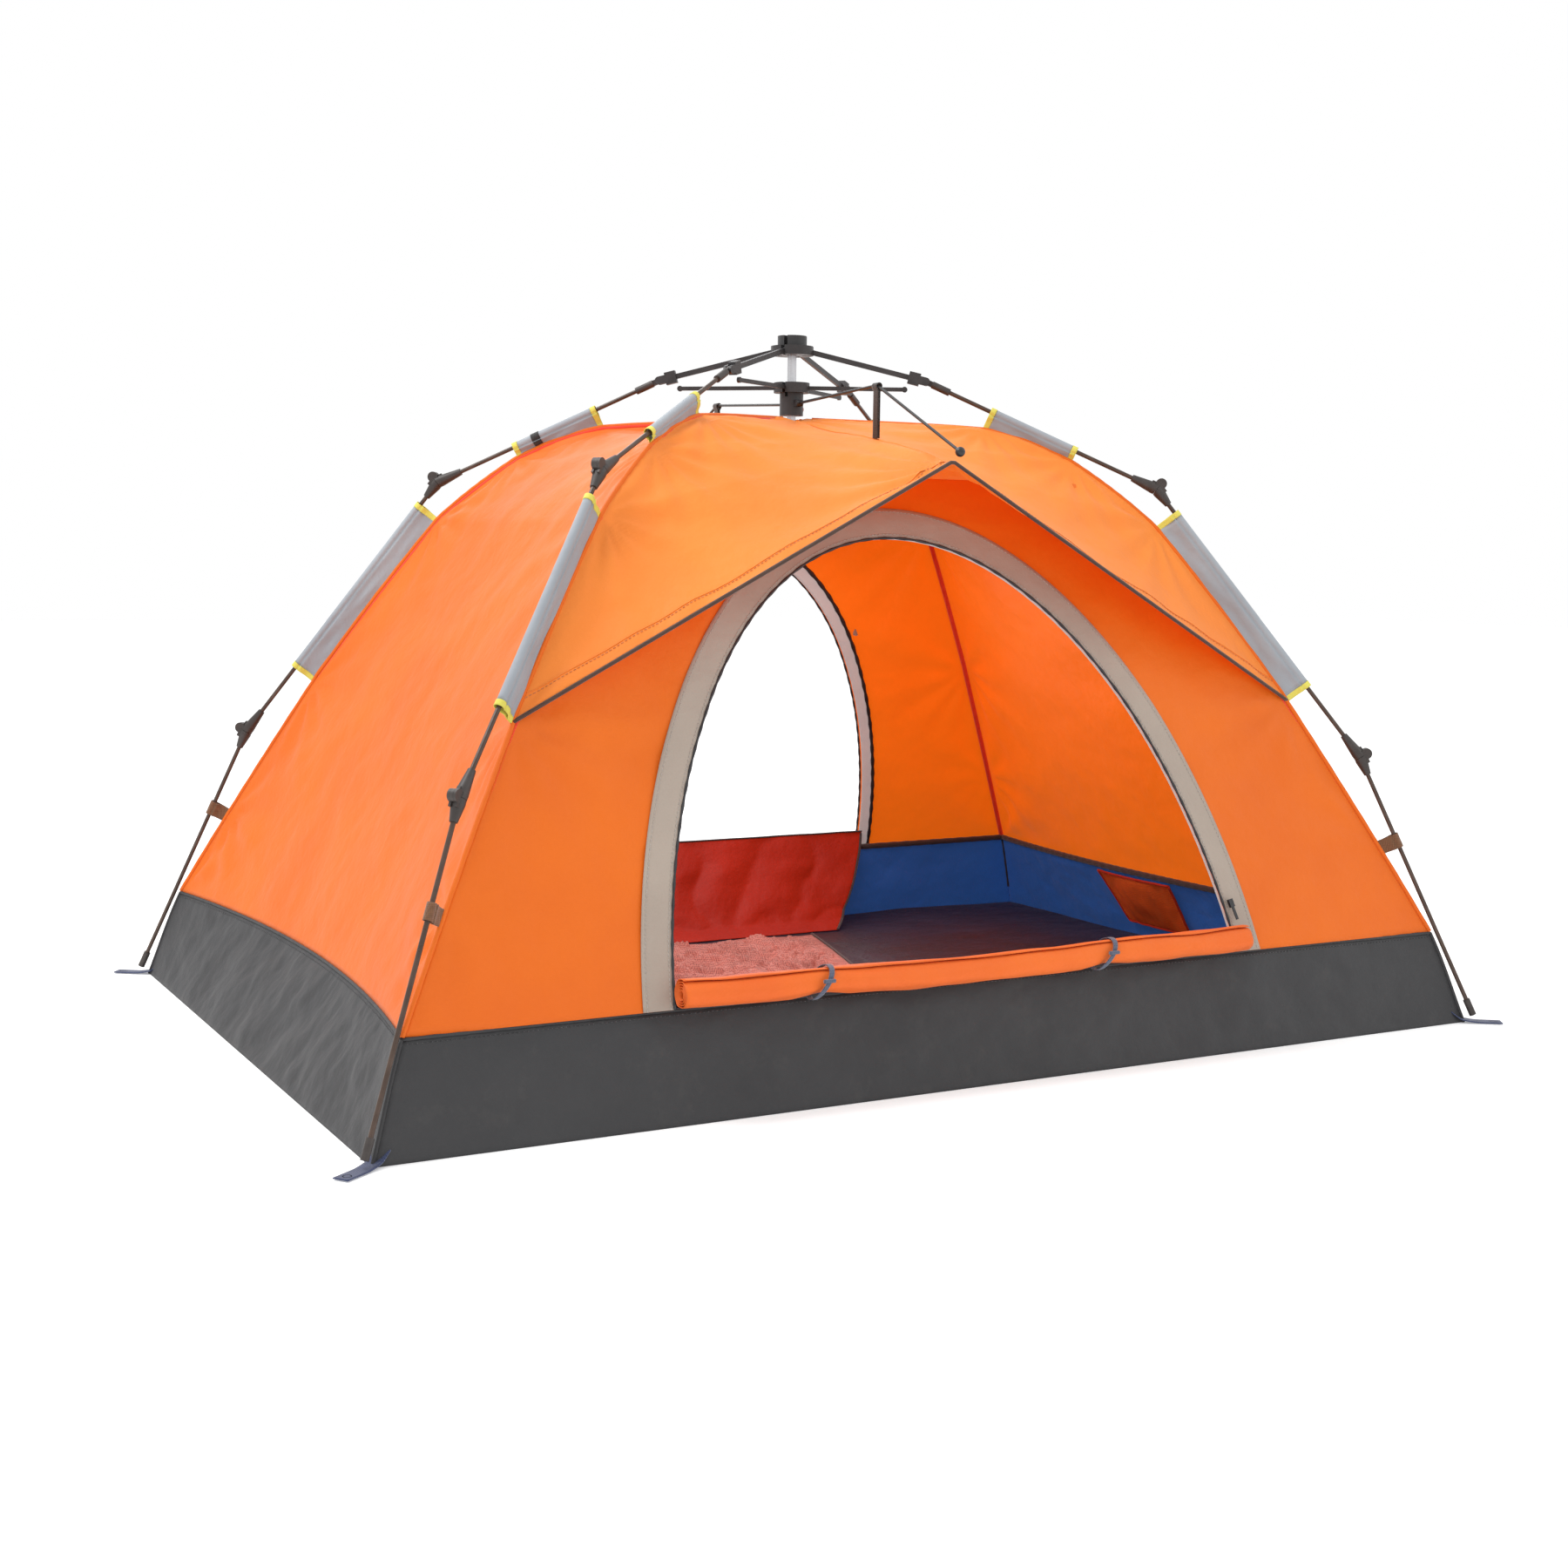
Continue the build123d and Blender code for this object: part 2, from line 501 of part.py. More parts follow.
def build():
    both = [Rot(0, 0, turn) for turn in DOORS.values()]
    save("groundsheet", *groundsheet())
    save("base_skirt", *base_walls(0, 0, SKIRT_TOP[1]))
    save("left_panel", *end_panel())
    save("right_panel", *[both[1] * strip for strip in end_panel()])
    roof = roof_half()
    roof += [mirror(plate, Plane.YZ) for plate in roof]
    wall = door_wall()
    for name, turn in zip(DOORS, both):
        save(f"{name}_roof_panel", *[turn * piece for piece in roof])
        save(f"{name}_wall", *[turn * piece for piece in wall])
    save("front_zip_slider", zip_slider())
    save("back_zip_slider", Pos(-2 * DOOR_X, 0, 0) * mirror(zip_slider(), Plane.XZ))
    save("door_tapes", *[turn * door_tape() for turn in both])
    roll, ties = door_roll()
    save("front_door_roll", roll)
    save("toggle_ties", *ties)
    save("back_door_panel", *[both[1] * strip for strip in dropped_door()])
    save("back_mesh_panel", *[both[1] * strip for strip in dropped_mesh()])
    save("mesh_pocket", mesh_pocket())
    turns = [Rot(0, 0, leg_angle(signs)) for signs in LEGS.values()]
    cloths, hems = sleeves()
    save("pole_sleeves", *[turn * piece for turn in turns for piece in cloths])
    save("sleeve_hems", *[turn * piece for turn in turns for piece in hems])
    save("pole_tabs", *[turn * pole_tab() for turn in turns])
    save("corner_straps", *[turn * corner_strap() for turn in turns])
    save("peg_eyelets", *[turn * peg_eyelet() for turn in turns])
    bend = EAVE_ROD_PATH[1]
    keeper = webbing_loop(bend[0], bend[1] - 1.5, APEX[1] - 36)
    strap = Rot(0, 0, leg_angle(LEGS["back_left"])) * sleeve_strap()
    save("webbing_loops", *[turn * keeper for turn in both], strap)
    save("crown", crown())
    save("hub_shaft", Pos(0, 0, 1106) * Cylinder(SHAFT_RADIUS, 118))
    save("lower_housing", housing())
    save("release_button", release_button())
    for name, turn in zip(DOORS, both):
        rod_piece, cap = eave_rod()
        save(f"{name}_eave_rod", turn * rod_piece, turn * cap)
    leg_pieces = {
        "hub_arm": [hub_arm()],
        "strut": [strut()],
        "upper_pole": [pole(ARM_PIVOT, KNEE_1, 20.3, 8.3)],
        "upper_pole_fittings": upper_fittings(),
        "middle_pole": [pole(KNEE_1, KNEE_2, 8.3, 8.3)],
        "middle_pole_fittings": middle_fittings(),
        "lower_pole": [pole(KNEE_2, FOOT, 8.3, 4.3)],
        "lower_pole_fittings": lower_fittings(),
    }
    for leg, signs in LEGS.items():
        for piece, solids in leg_pieces.items():
            save(f"{piece}_{leg}", *[Rot(0, 0, leg_angle(signs)) * s for s in solids])


build()
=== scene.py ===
"""A pop-up dome tent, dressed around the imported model: sewn canopy, sleeves, doors and tub floor."""
from math import atan2, cos, hypot, pi, radians, sin

import bpy
import numpy as np
from mathutils import Matrix, Vector, noise


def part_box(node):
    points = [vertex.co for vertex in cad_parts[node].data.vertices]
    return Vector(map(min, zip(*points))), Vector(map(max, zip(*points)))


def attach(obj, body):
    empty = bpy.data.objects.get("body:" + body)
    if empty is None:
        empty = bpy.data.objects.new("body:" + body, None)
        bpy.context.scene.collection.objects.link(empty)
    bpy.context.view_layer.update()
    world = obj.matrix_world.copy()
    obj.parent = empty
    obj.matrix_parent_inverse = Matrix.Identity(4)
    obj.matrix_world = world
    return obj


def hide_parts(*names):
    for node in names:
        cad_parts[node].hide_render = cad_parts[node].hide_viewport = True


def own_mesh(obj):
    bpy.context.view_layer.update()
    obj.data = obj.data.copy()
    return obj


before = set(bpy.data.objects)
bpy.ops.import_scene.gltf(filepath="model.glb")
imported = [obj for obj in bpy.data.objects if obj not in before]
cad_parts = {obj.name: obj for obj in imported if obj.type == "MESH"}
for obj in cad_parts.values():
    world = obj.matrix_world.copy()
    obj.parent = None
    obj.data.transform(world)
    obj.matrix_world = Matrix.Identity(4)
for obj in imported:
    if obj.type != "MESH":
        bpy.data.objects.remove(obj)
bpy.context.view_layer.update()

# ---- Shape of the tent, in metres, from the frame ----
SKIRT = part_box("base_skirt")
HALF_X, HALF_Y, SKIRT_TOP = SKIRT[1][0], SKIRT[1][1], SKIRT[1][2]
HALF_DIAG = hypot(HALF_X, HALF_Y)
TO_X, TO_Y = HALF_X / HALF_DIAG, HALF_Y / HALF_DIAG
PANEL_FOOT = SKIRT_TOP + 0.002
TUB_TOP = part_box("groundsheet")[1][2]
APEX_Z = 1.050
# The corner seam: distance out along the floor's diagonal, and height.
SEAM = [(HALF_DIAG, 0.0), (1.155, 0.159), (0.890, 0.564), (0.648, 0.868), (0.499, 0.979), (0.340, 1.035),
        (0.015, APEX_Z)]
EAVE_FOOT = (0.890, 0.564)
TAB_ON_SEAM = (1.048, 0.318)
WALL_TOP = 0.942
EAVE_TIP = Vector((0, -0.530, 0.957))
END_SAG = 0.060            # how far the short sides hang inward at mid-width
DOOR_CENTRE, DOOR_TOP, DOOR_HALF = 0.050, 0.841, 0.528
DOOR_X = -0.020
TAPE, INNER_TAPE = 0.048, 0.026   # the tape's width outside and inside the wall
TIES_AT = (-0.313, 0.207)
TIE_WIDTH, TIE_SLANT = 0.0084, 0.014
CORNERS = {"front_left": (-1, -1), "front_right": (1, -1), "back_left": (-1, 1), "back_right": (1, 1)}
CLOTH = 0.0012

# The leg's pole line, distance out and height.
ARM_PIVOT, KNEE_1, KNEE_2, FOOT = (0.240, 1.120), (0.650, 0.935), (1.020, 0.470), (1.236, 0.014)
SLEEVE_SPANS = [((0.340, 1.035), (0.499, 0.979), ARM_PIVOT, KNEE_1),
                ((0.648, 0.868), (0.890, 0.564), KNEE_1, KNEE_2)]
SOCKET_CLEAR = 0.039


def seam_point(height):
    """The corner seam's distance out at a height, on a smooth curve through its points."""
    for i in range(len(SEAM) - 1):
        (r0, z0), (r1, z1) = SEAM[i], SEAM[i + 1]
        if height <= z1 or i == len(SEAM) - 2:
            before = SEAM[i - 1] if i else (2 * r0 - r1, 2 * z0 - z1)
            after = SEAM[i + 2] if i + 2 < len(SEAM) else (2 * r1 - r0, 2 * z1 - z0)
            t = min(1.0, max(0.0, (height - z0) / (z1 - z0)))
            slope_0 = (r1 - before[0]) / (z1 - before[1]) * (z1 - z0)
            slope_1 = (after[0] - r0) / (after[1] - z0) * (z1 - z0)
            smooth = ((2 * t**3 - 3 * t**2 + 1) * r0 + (t**3 - 2 * t**2 + t) * slope_0
                      + (3 * t**2 - 2 * t**3) * r1 + (t**3 - t**2) * slope_1)
            straight = r0 + (r1 - r0) * t
            return 0.5 * smooth + 0.5 * straight


def end_sag(height):
    """Inward hang of the short sides: most at the skirt's top, none at the ground and apex."""
    if height < SKIRT_TOP:
        return END_SAG * height / SKIRT_TOP
    return END_SAG * (1 - (height - SKIRT_TOP) / (APEX_Z - SKIRT_TOP)) ** 0.7


# ---- Meshes from grids of points ----
def even(low, high, count):
    return np.linspace(low, high, count)


def sheet_grid(place, us, vs):
    return np.array([[tuple(place(u, v)) for u in us] for v in vs])


def grid_normals(grid):
    across = np.gradient(grid, axis=1)
    along = np.gradient(grid, axis=0)
    normal = np.cross(across, along)
    return normal / np.maximum(np.linalg.norm(normal, axis=2, keepdims=True), 1e-9)


def pull_folds(grid, pulls):
    """Height of the folds that fan out from points where the cloth is pulled."""
    normal = grid_normals(grid)
    centre = normal.mean(axis=(0, 1))
    side = np.cross((0, 0, 1), centre)
    side /= np.linalg.norm(side)
    up = np.cross(centre, side)
    rise = np.zeros(grid.shape[:2])
    for point, height, reach, lobes, phase in pulls:
        arm = grid - np.array(point)
        distance = np.linalg.norm(arm, axis=2)
        angle = np.arctan2(arm @ up, arm @ side)
        start = 1 - np.exp(-(distance / 0.04) ** 2)
        rise += height * start * np.exp(-distance / reach) * np.sin(lobes * angle + phase)
    return rise


def crumple(grid, height, size, seed):
    """Soft random hollows of about the given size."""
    flat = grid.reshape(-1, 3)
    values = [noise.fractal(Vector(p) / size + Vector((seed, 0, 0)), 0.9, 2.1, 3) for p in flat]
    return height * np.array(values).reshape(grid.shape[:2])


def pucker(grid, edges, height=0.0012, wave=0.024):
    """Small gathers beside a sewn edge: edges are any of left, right, low and high."""
    step_u = np.linalg.norm(np.diff(grid, axis=1), axis=2)
    step_v = np.linalg.norm(np.diff(grid, axis=0), axis=2)
    run_u = np.concatenate([np.zeros((grid.shape[0], 1)), step_u.cumsum(axis=1)], axis=1)
    run_v = np.concatenate([np.zeros((1, grid.shape[1])), step_v.cumsum(axis=0)], axis=0)
    away = {"left": (run_u, run_v), "right": (run_u[:, -1:] - run_u, run_v),
            "low": (run_v, run_u), "high": (run_v[-1:] - run_v, run_u)}
    rise = np.zeros(grid.shape[:2])
    for edge in edges:
        distance, run = away[edge]
        waves = np.sin(2 * pi * run / wave + 2 * np.sin(9 * run)) * (0.6 + 0.4 * np.sin(31 * run))
        rise += height * np.exp(-distance / 0.022) * waves
    return rise


def raise_grid(grid, rise, fade=0.03):
    """Moves the grid along its normal, fading to nothing at its border."""
    rows, columns = grid.shape[:2]
    v = np.minimum(np.arange(rows), np.arange(rows)[::-1])[:, None] / (fade * rows)
    u = np.minimum(np.arange(columns), np.arange(columns)[::-1])[None, :] / (fade * columns)
    hold = np.clip(np.minimum(u, v), 0, 1)
    return grid + grid_normals(grid) * (rise * hold)[..., None]


def outward(grid, centre):
    """The same grid, with its faces turned away from centre."""
    facing = (grid_normals(grid) * (grid - np.array(centre))).sum()
    return grid if facing > 0 else grid[:, ::-1]


def mesh_object(name, points, faces, smooth=True):
    mesh = bpy.data.meshes.new(name)
    mesh.from_pydata([tuple(p) for p in points], [], faces)
    mesh.validate()
    mesh.polygons.foreach_set("use_smooth", [smooth] * len(mesh.polygons))
    mesh.update()
    obj = bpy.data.objects.new(name, mesh)
    bpy.context.collection.objects.link(obj)
    return obj


def grids_to_mesh(grids, closed=False):
    points, faces = [], []
    for grid in grids:
        first = len(points)
        rows, columns = grid.shape[:2]
        points += grid.reshape(-1, 3).tolist()
        wrap = columns if closed else columns - 1
        for j in range(rows - 1):
            for i in range(wrap):
                k = (i + 1) % columns
                a, b = first + j * columns, first + (j + 1) * columns
                faces.append((a + i, a + k, b + k, b + i))
    return points, faces


def cloth_object(name, grids, node, outside, inside=None, thickness=CLOTH, closed=False, offset=-1):
    """A sewn sheet: its skin is the grid, and its thickness goes inward."""
    points, faces = grids_to_mesh(grids, closed)
    obj = mesh_object(name, points, faces)
    obj.data.materials.append(outside)
    solid = obj.modifiers.new("thickness", "SOLIDIFY")
    solid.thickness = thickness
    solid.offset = offset
    if inside:
        obj.data.materials.append(inside)
        solid.material_offset = 1
    return dress(obj, node)


def dress(obj, node):
    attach(obj, "root")
    if node:
        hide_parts(node)
    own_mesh(obj)
    return obj


def turned(grid, half_turn):
    return grid * np.array((-1, -1, 1)) if half_turn else grid


def tube(name, lines, radius, material, node=None, flatten=1.0, sides=8, bumps=0.0):
    """Round cord or piping along each line of points."""
    grids = []
    for line in lines:
        line = np.array(line, dtype=float)
        ahead = np.gradient(line, axis=0)
        ahead /= np.maximum(np.linalg.norm(ahead, axis=1, keepdims=True), 1e-9)
        side = np.cross(ahead, (0, 0, 1))
        side /= np.maximum(np.linalg.norm(side, axis=1, keepdims=True), 1e-9)
        up = np.cross(side, ahead)
        rows = []
        for k, point in enumerate(line):
            swell = radius * (1 + bumps * sin(k * 1.7))
            rows.append([point + swell * (cos(a) * side[k] + flatten * sin(a) * up[k])
                         for a in even(0, 2 * pi, sides + 1)[:-1]])
        grids.append(np.array(rows))
    points, faces = grids_to_mesh(grids, closed=True)
    count = 0
    for grid in grids:
        last = count + (grid.shape[0] - 1) * sides
        faces.append(tuple(range(count, count + sides))[::-1])
        faces.append(tuple(range(last, last + sides)))
        count += grid.shape[0] * sides
    obj = mesh_object(name, points, faces)
    obj.data.materials.append(material)
    return dress(obj, node)


def stitch_row(name, lines, material, length=0.0042, gap=0.0028, width=0.0009):
    """A row of thread stitches along each line of points."""
    points, faces = [], []
    for line in lines:
        line = np.array(line, dtype=float)
        steps = np.linalg.norm(np.diff(line, axis=0), axis=1)
        run = np.concatenate([[0], steps.cumsum()])
        for start in np.arange(0, run[-1] - length, length + gap):
            ends = [np.array([np.interp(s, run, line[:, k]) for k in range(3)])
                    for s in (start, start + length)]
            ahead = (ends[1] - ends[0]) / length
            side = np.cross(ahead, (0, 0.3, 1))
            side *= width / 2 / max(np.linalg.norm(side), 1e-9)
            up = np.cross(side, ahead)
            first = len(points)
            for end in ends:
                points += [end + side, end + up, end - side, end - up]
            a = first
            faces += [(a + i, a + (i + 1) % 4, a + 4 + (i + 1) % 4, a + 4 + i) for i in range(4)]
            faces += [(a + 3, a + 2, a + 1, a), (a + 4, a + 5, a + 6, a + 7)]
    obj = mesh_object(name, points, faces)
    obj.data.materials.append(material)
    return dress(obj, None)


# ---- Materials ----
def node_material(name, roughness, metallic=0.0):
    material = bpy.data.materials.new(name)
    material.use_nodes = True
    nodes, links = material.node_tree.nodes, material.node_tree.links
    shader = nodes["Principled BSDF"]
    shader.inputs["Roughness"].default_value = roughness
    shader.inputs["Metallic"].default_value = metallic
    return material, nodes, links, shader


def place_coords(nodes, links, scale):
    coords = nodes.new("ShaderNodeTexCoord")
    mapping = nodes.new("ShaderNodeMapping")
    mapping.inputs["Scale"].default_value = scale
    links.new(coords.outputs["Object"], mapping.inputs["Vector"])
    return mapping.outputs["Vector"]


def noise_node(nodes, links, vector, scale, detail=4.0, rough=0.6):
    node = nodes.new("ShaderNodeTexNoise")
    node.inputs["Scale"].default_value = scale
    node.inputs["Detail"].default_value = detail
    node.inputs["Roughness"].default_value = rough
    links.new(vector, node.inputs["Vector"])
    return node.outputs["Fac"]


def ramp(nodes, links, value, stops):
    node = nodes.new("ShaderNodeValToRGB")
    elements = node.color_ramp.elements
    while len(elements) < len(stops):
        elements.new(0.5)
    for element, (place, colour) in zip(elements, stops):
        element.position = place
        element.color = (*colour, 1)
    links.new(value, node.inputs["Fac"])
    return node.outputs["Color"]


def maths(nodes, links, operation, a, b):
    node = nodes.new("ShaderNodeMath")
    node.operation = operation
    for socket, value in zip(node.inputs, (a, b)):
        if isinstance(value, (int, float)):
            socket.default_value = value
        else:
            links.new(value, socket)
    return node.outputs[0]


def mix_colours(nodes, links, factor, a, b, blend="MIX"):
    node = nodes.new("ShaderNodeMix")
    node.data_type = "RGBA"
    node.blend_type = blend
    for socket, value in ((node.inputs["Factor"], factor), (node.inputs[6], a), (node.inputs[7], b)):
        if isinstance(value, (int, float)):
            socket.default_value = value
        elif isinstance(value, tuple):
            socket.default_value = (*value, 1)
        else:
            links.new(value, socket)
    return node.outputs[2]


def bumps(nodes, links, shader, layers):
    """Stacks bump layers: (height socket, distance in metres, strength)."""
    normal = None
    for height, distance, strength in layers:
        node = nodes.new("ShaderNodeBump")
        node.inputs["Distance"].default_value = distance
        node.inputs["Strength"].default_value = strength
        links.new(height, node.inputs["Height"])
        if normal:
            links.new(normal, node.inputs["Normal"])
        normal = node.outputs["Normal"]
    links.new(normal, shader.inputs["Normal"])


def weave_height(nodes, links, pitch):
    """Threads over and under, from crossed bands in all three directions."""
    vector = place_coords(nodes, links, (1, 1, 1))
    total = None
    for axis in "XYZ":
        wave = nodes.new("ShaderNodeTexWave")
        wave.bands_direction = axis
        wave.inputs["Scale"].default_value = 0.314 / pitch
        wave.inputs["Distortion"].default_value = 0.4
        wave.inputs["Detail"].default_value = 1.0
        links.new(vector, wave.inputs["Vector"])
        bands = wave.outputs["Fac"]
        total = bands if total is None else maths(nodes, links, "ADD", total, bands)
    return maths(nodes, links, "DIVIDE", total, 3.0)


def woven(name, colour, deep, roughness=0.62, sheen=0.06, pitch=0.0011, crease=0.5, stain=0.0, glow=None):
    """Coated polyester: fine weave, soft creases, and colour that varies a little.

    glow is painted light: an emission colour and strength that stand in for the daylight coming through
    thin cloth.
    """
    material, nodes, links, shader = node_material(name, roughness)
    vector = place_coords(nodes, links, (1, 1, 1))
    broad = noise_node(nodes, links, vector, 3.5, 3.0)
    colour_out = ramp(nodes, links, broad, [(0.30, deep), (0.68, colour)])
    weave = weave_height(nodes, links, pitch)
    darker = tuple(0.86 * c for c in colour)
    colour_out = mix_colours(nodes, links, maths(nodes, links, "MULTIPLY", weave, 0.22), colour_out, darker)
    if stain:
        dust = noise_node(nodes, links, vector, 21.0, 6.0, 0.7)
        spots = ramp(nodes, links, dust, [(0.55, (0, 0, 0)), (0.75, (1, 1, 1))])
        amount = maths(nodes, links, "MULTIPLY", spots, stain)
        colour_out = mix_colours(nodes, links, amount, colour_out, (0.34, 0.30, 0.25))
    links.new(colour_out, shader.inputs["Base Color"])
    rough_noise = noise_node(nodes, links, vector, 40.0, 3.0)
    rough = maths(nodes, links, "MULTIPLY_ADD", rough_noise, 0.14)
    rough.node.inputs[2].default_value = roughness - 0.07
    links.new(rough, shader.inputs["Roughness"])
    if glow:
        # Painted light: emission in place of daylight coming through the cloth.
        shader.inputs["Emission Color"].default_value = (*glow[:3], 1)
        shader.inputs["Emission Strength"].default_value = glow[3]
    shader.inputs["Sheen Weight"].default_value = sheen
    shader.inputs["Sheen Roughness"].default_value = 0.45
    shader.inputs["Specular IOR Level"].default_value = 0.35
    folds = noise_node(nodes, links, vector, 14.0, 5.0, 0.55)
    fine = noise_node(nodes, links, vector, 85.0, 4.0, 0.6)
    bumps(nodes, links, shader, [(folds, 0.010, crease), (fine, 0.0012, 0.35), (weave, 0.0002, 0.45)])
    return material


def moulded(name, colour, roughness=0.45, grain=900.0, wear=0.10):
    """Moulded plastic with a fine spark-eroded grain and lighter rubbed patches."""
    material, nodes, links, shader = node_material(name, roughness)
    vector = place_coords(nodes, links, (1, 1, 1))
    patches = noise_node(nodes, links, vector, 26.0, 5.0, 0.65)
    rubbed = tuple(min(1.0, c * 1.7 + wear * 0.12) for c in colour)
    links.new(ramp(nodes, links, patches, [(0.42, colour), (0.85, rubbed)]), shader.inputs["Base Color"])
    rough = maths(nodes, links, "MULTIPLY_ADD", patches, 0.2)
    rough.node.inputs[2].default_value = roughness - 0.1
    links.new(rough, shader.inputs["Roughness"])
    shader.inputs["Specular IOR Level"].default_value = 0.45
    fine = noise_node(nodes, links, vector, grain, 2.0)
    bumps(nodes, links, shader, [(fine, 0.0001, 0.35)])
    return material


def webbing(name, colour, pitch=0.0028, roughness=0.75):
    """Flat woven tape: coarse diagonal ribs."""
    material, nodes, links, shader = node_material(name, roughness)
    vector = place_coords(nodes, links, (1, 1, 1))
    ribs = weave_height(nodes, links, pitch)
    lint = noise_node(nodes, links, vector, 160.0, 3.0)
    dark, light = tuple(0.55 * c for c in colour), tuple(min(1.0, 1.25 * c) for c in colour)
    base = mix_colours(nodes, links, ribs, dark, light)
    base = mix_colours(nodes, links, maths(nodes, links, "MULTIPLY", lint, 0.35), base, colour)
    links.new(base, shader.inputs["Base Color"])
    shader.inputs["Sheen Weight"].default_value = 0.3
    bumps(nodes, links, shader, [(ribs, 0.0007, 0.8), (lint, 0.0003, 0.4)])
    return material


def metal(name, colour, roughness):
    material, nodes, links, shader = node_material(name, roughness, metallic=1.0)
    vector = place_coords(nodes, links, (1, 1, 14))
    brushed = noise_node(nodes, links, vector, 130.0, 4.0)
    links.new(ramp(nodes, links, brushed, [(0.3, tuple(0.8 * c for c in colour)), (0.7, colour)]),
              shader.inputs["Base Color"])
    bumps(nodes, links, shader, [(brushed, 0.0001, 0.3)])
    return material


def netting(name, colour, pitch=0.0032, cover=0.55):
    """Mosquito mesh: threads with clear gaps between them."""
    material, nodes, links, shader = node_material(name, 0.7)
    vector = place_coords(nodes, links, (1, 1, 1))
    threads = weave_height(nodes, links, pitch)
    shade = noise_node(nodes, links, vector, 9.0, 3.0)
    links.new(ramp(nodes, links, shade, [(0.3, tuple(0.7 * c for c in colour)), (0.7, colour)]),
              shader.inputs["Base Color"])
    alpha = ramp(nodes, links, threads, [(0.30, (cover, cover, cover)), (0.60, (1, 1, 1))])
    links.new(alpha, shader.inputs["Alpha"])
    bumps(nodes, links, shader, [(threads, 0.0006, 0.8)])
    return material


# Shell cloth; its emission is painted light, standing in for daylight that comes through the cloth.
ORANGE = woven("shell_orange", (0.62, 0.126, 0.001), (0.56, 0.102, 0.001), glow=(1.0, 0.12, 0.0, 0.14))
# Roof cloth: the shell's orange painted lighter, as painted light falling from above on the roof.
ROOF_ORANGE_PAINTED_LIGHT = woven("roof_orange_painted_light", (0.86, 0.245, 0.030), (0.80, 0.200, 0.022))
# Inner skin: the shell's orange painted brighter, with emission, as painted light coming through the cloth.
INSIDE_ORANGE_PAINTED_LIGHT = woven("shell_inside_painted_light", (0.84, 0.15, 0.008), (0.76, 0.11, 0.006), roughness=0.5, crease=0.4,
                      glow=(1.0, 0.21, 0.004, 0.36))
DOOR_ORANGE = woven("door_orange", (0.80, 0.155, 0.014), (0.70, 0.11, 0.010), crease=0.8)
# Back door panel: the door's orange cloth painted dark red as painted shade, with a weak emission as
# painted light through the cloth.
DOOR_PAINTED_SHADE = woven("door_orange_painted_shade", (0.33, 0.008, 0.0), (0.25, 0.004, 0.0), crease=0.8,
                 glow=(1.0, 0.07, 0.0, 0.06))
SKIRT_GREY = woven("skirt_grey", (0.040, 0.040, 0.042), (0.032, 0.032, 0.034), stain=0.03)
# The tub's own blue; its emission is painted light coming through the cloth.
TUB_BLUE = woven("tub_blue", (0.018, 0.11, 0.44), (0.012, 0.07, 0.32), roughness=0.5, crease=0.7,
                 glow=(0.08, 0.28, 0.90, 0.09))
FLOOR_DARK = woven("floor_dark", (0.022, 0.018, 0.034), (0.012, 0.009, 0.016), roughness=0.5, crease=0.9)
SLEEVE_GREY = woven("sleeve_grey", (0.34, 0.37, 0.40), (0.27, 0.29, 0.32), pitch=0.0009, sheen=0.15)
HEM_YELLOW = woven("hem_yellow", (0.72, 0.66, 0.12), (0.60, 0.54, 0.08), pitch=0.0009)
TAPE_GREY = woven("tape_grey", (0.40, 0.335, 0.28), (0.33, 0.27, 0.225), pitch=0.0014, roughness=0.7)
# Inner door tape: the grey tape painted lighter, with emission, as painted light coming through from
# outside.
TAPE_INSIDE_PAINTED_LIGHT = woven("tape_inside_painted_light", (0.46, 0.44, 0.42), (0.40, 0.38, 0.36), pitch=0.0014, roughness=0.7,
                    glow=(0.60, 0.60, 0.60, 0.30))
PIPING = webbing("piping_brown", (0.060, 0.024, 0.012), pitch=0.0016)
SEAM_RED = webbing("seam_red", (0.95, 0.045, 0.008), pitch=0.0016)
BINDING = webbing("binding_black", (0.020, 0.018, 0.020), pitch=0.0016)
WEB_BROWN = webbing("webbing_brown", (0.16, 0.065, 0.022))
WEB_NAVY = webbing("webbing_navy", (0.030, 0.045, 0.12))
WEB_TIE = webbing("webbing_grey_blue", (0.075, 0.095, 0.15))
WEB_BLACK = webbing("webbing_black", (0.018, 0.018, 0.018))
MESH_PINK = netting("mesh_pink", (0.62, 0.27, 0.23))
MESH_RED = netting("mesh_red", (1.0, 0.17, 0.015), cover=0.88)
THREAD = webbing("thread_orange", (0.55, 0.16, 0.04), pitch=0.001)
THREAD_GREY = webbing("thread_grey", (0.55, 0.52, 0.48), pitch=0.001)
ZIP_BLACK = moulded("zip_black", (0.018, 0.018, 0.020), roughness=0.4)
HUB_BLACK = moulded("hub_black", (0.022, 0.021, 0.022), roughness=0.42)
ELBOW_BLACK = moulded("elbow_black", (0.034, 0.027, 0.024), roughness=0.48)
POLE_BROWN = moulded("pole_brown", (0.050, 0.028, 0.018), roughness=0.30, grain=300.0)
ROD_BLACK = moulded("rod_black", (0.020, 0.020, 0.021), roughness=0.35)
BUTTON_RED = moulded("button_red", (0.50, 0.030, 0.018), roughness=0.35)
STEEL = metal("steel", (0.62, 0.62, 0.64), 0.32)


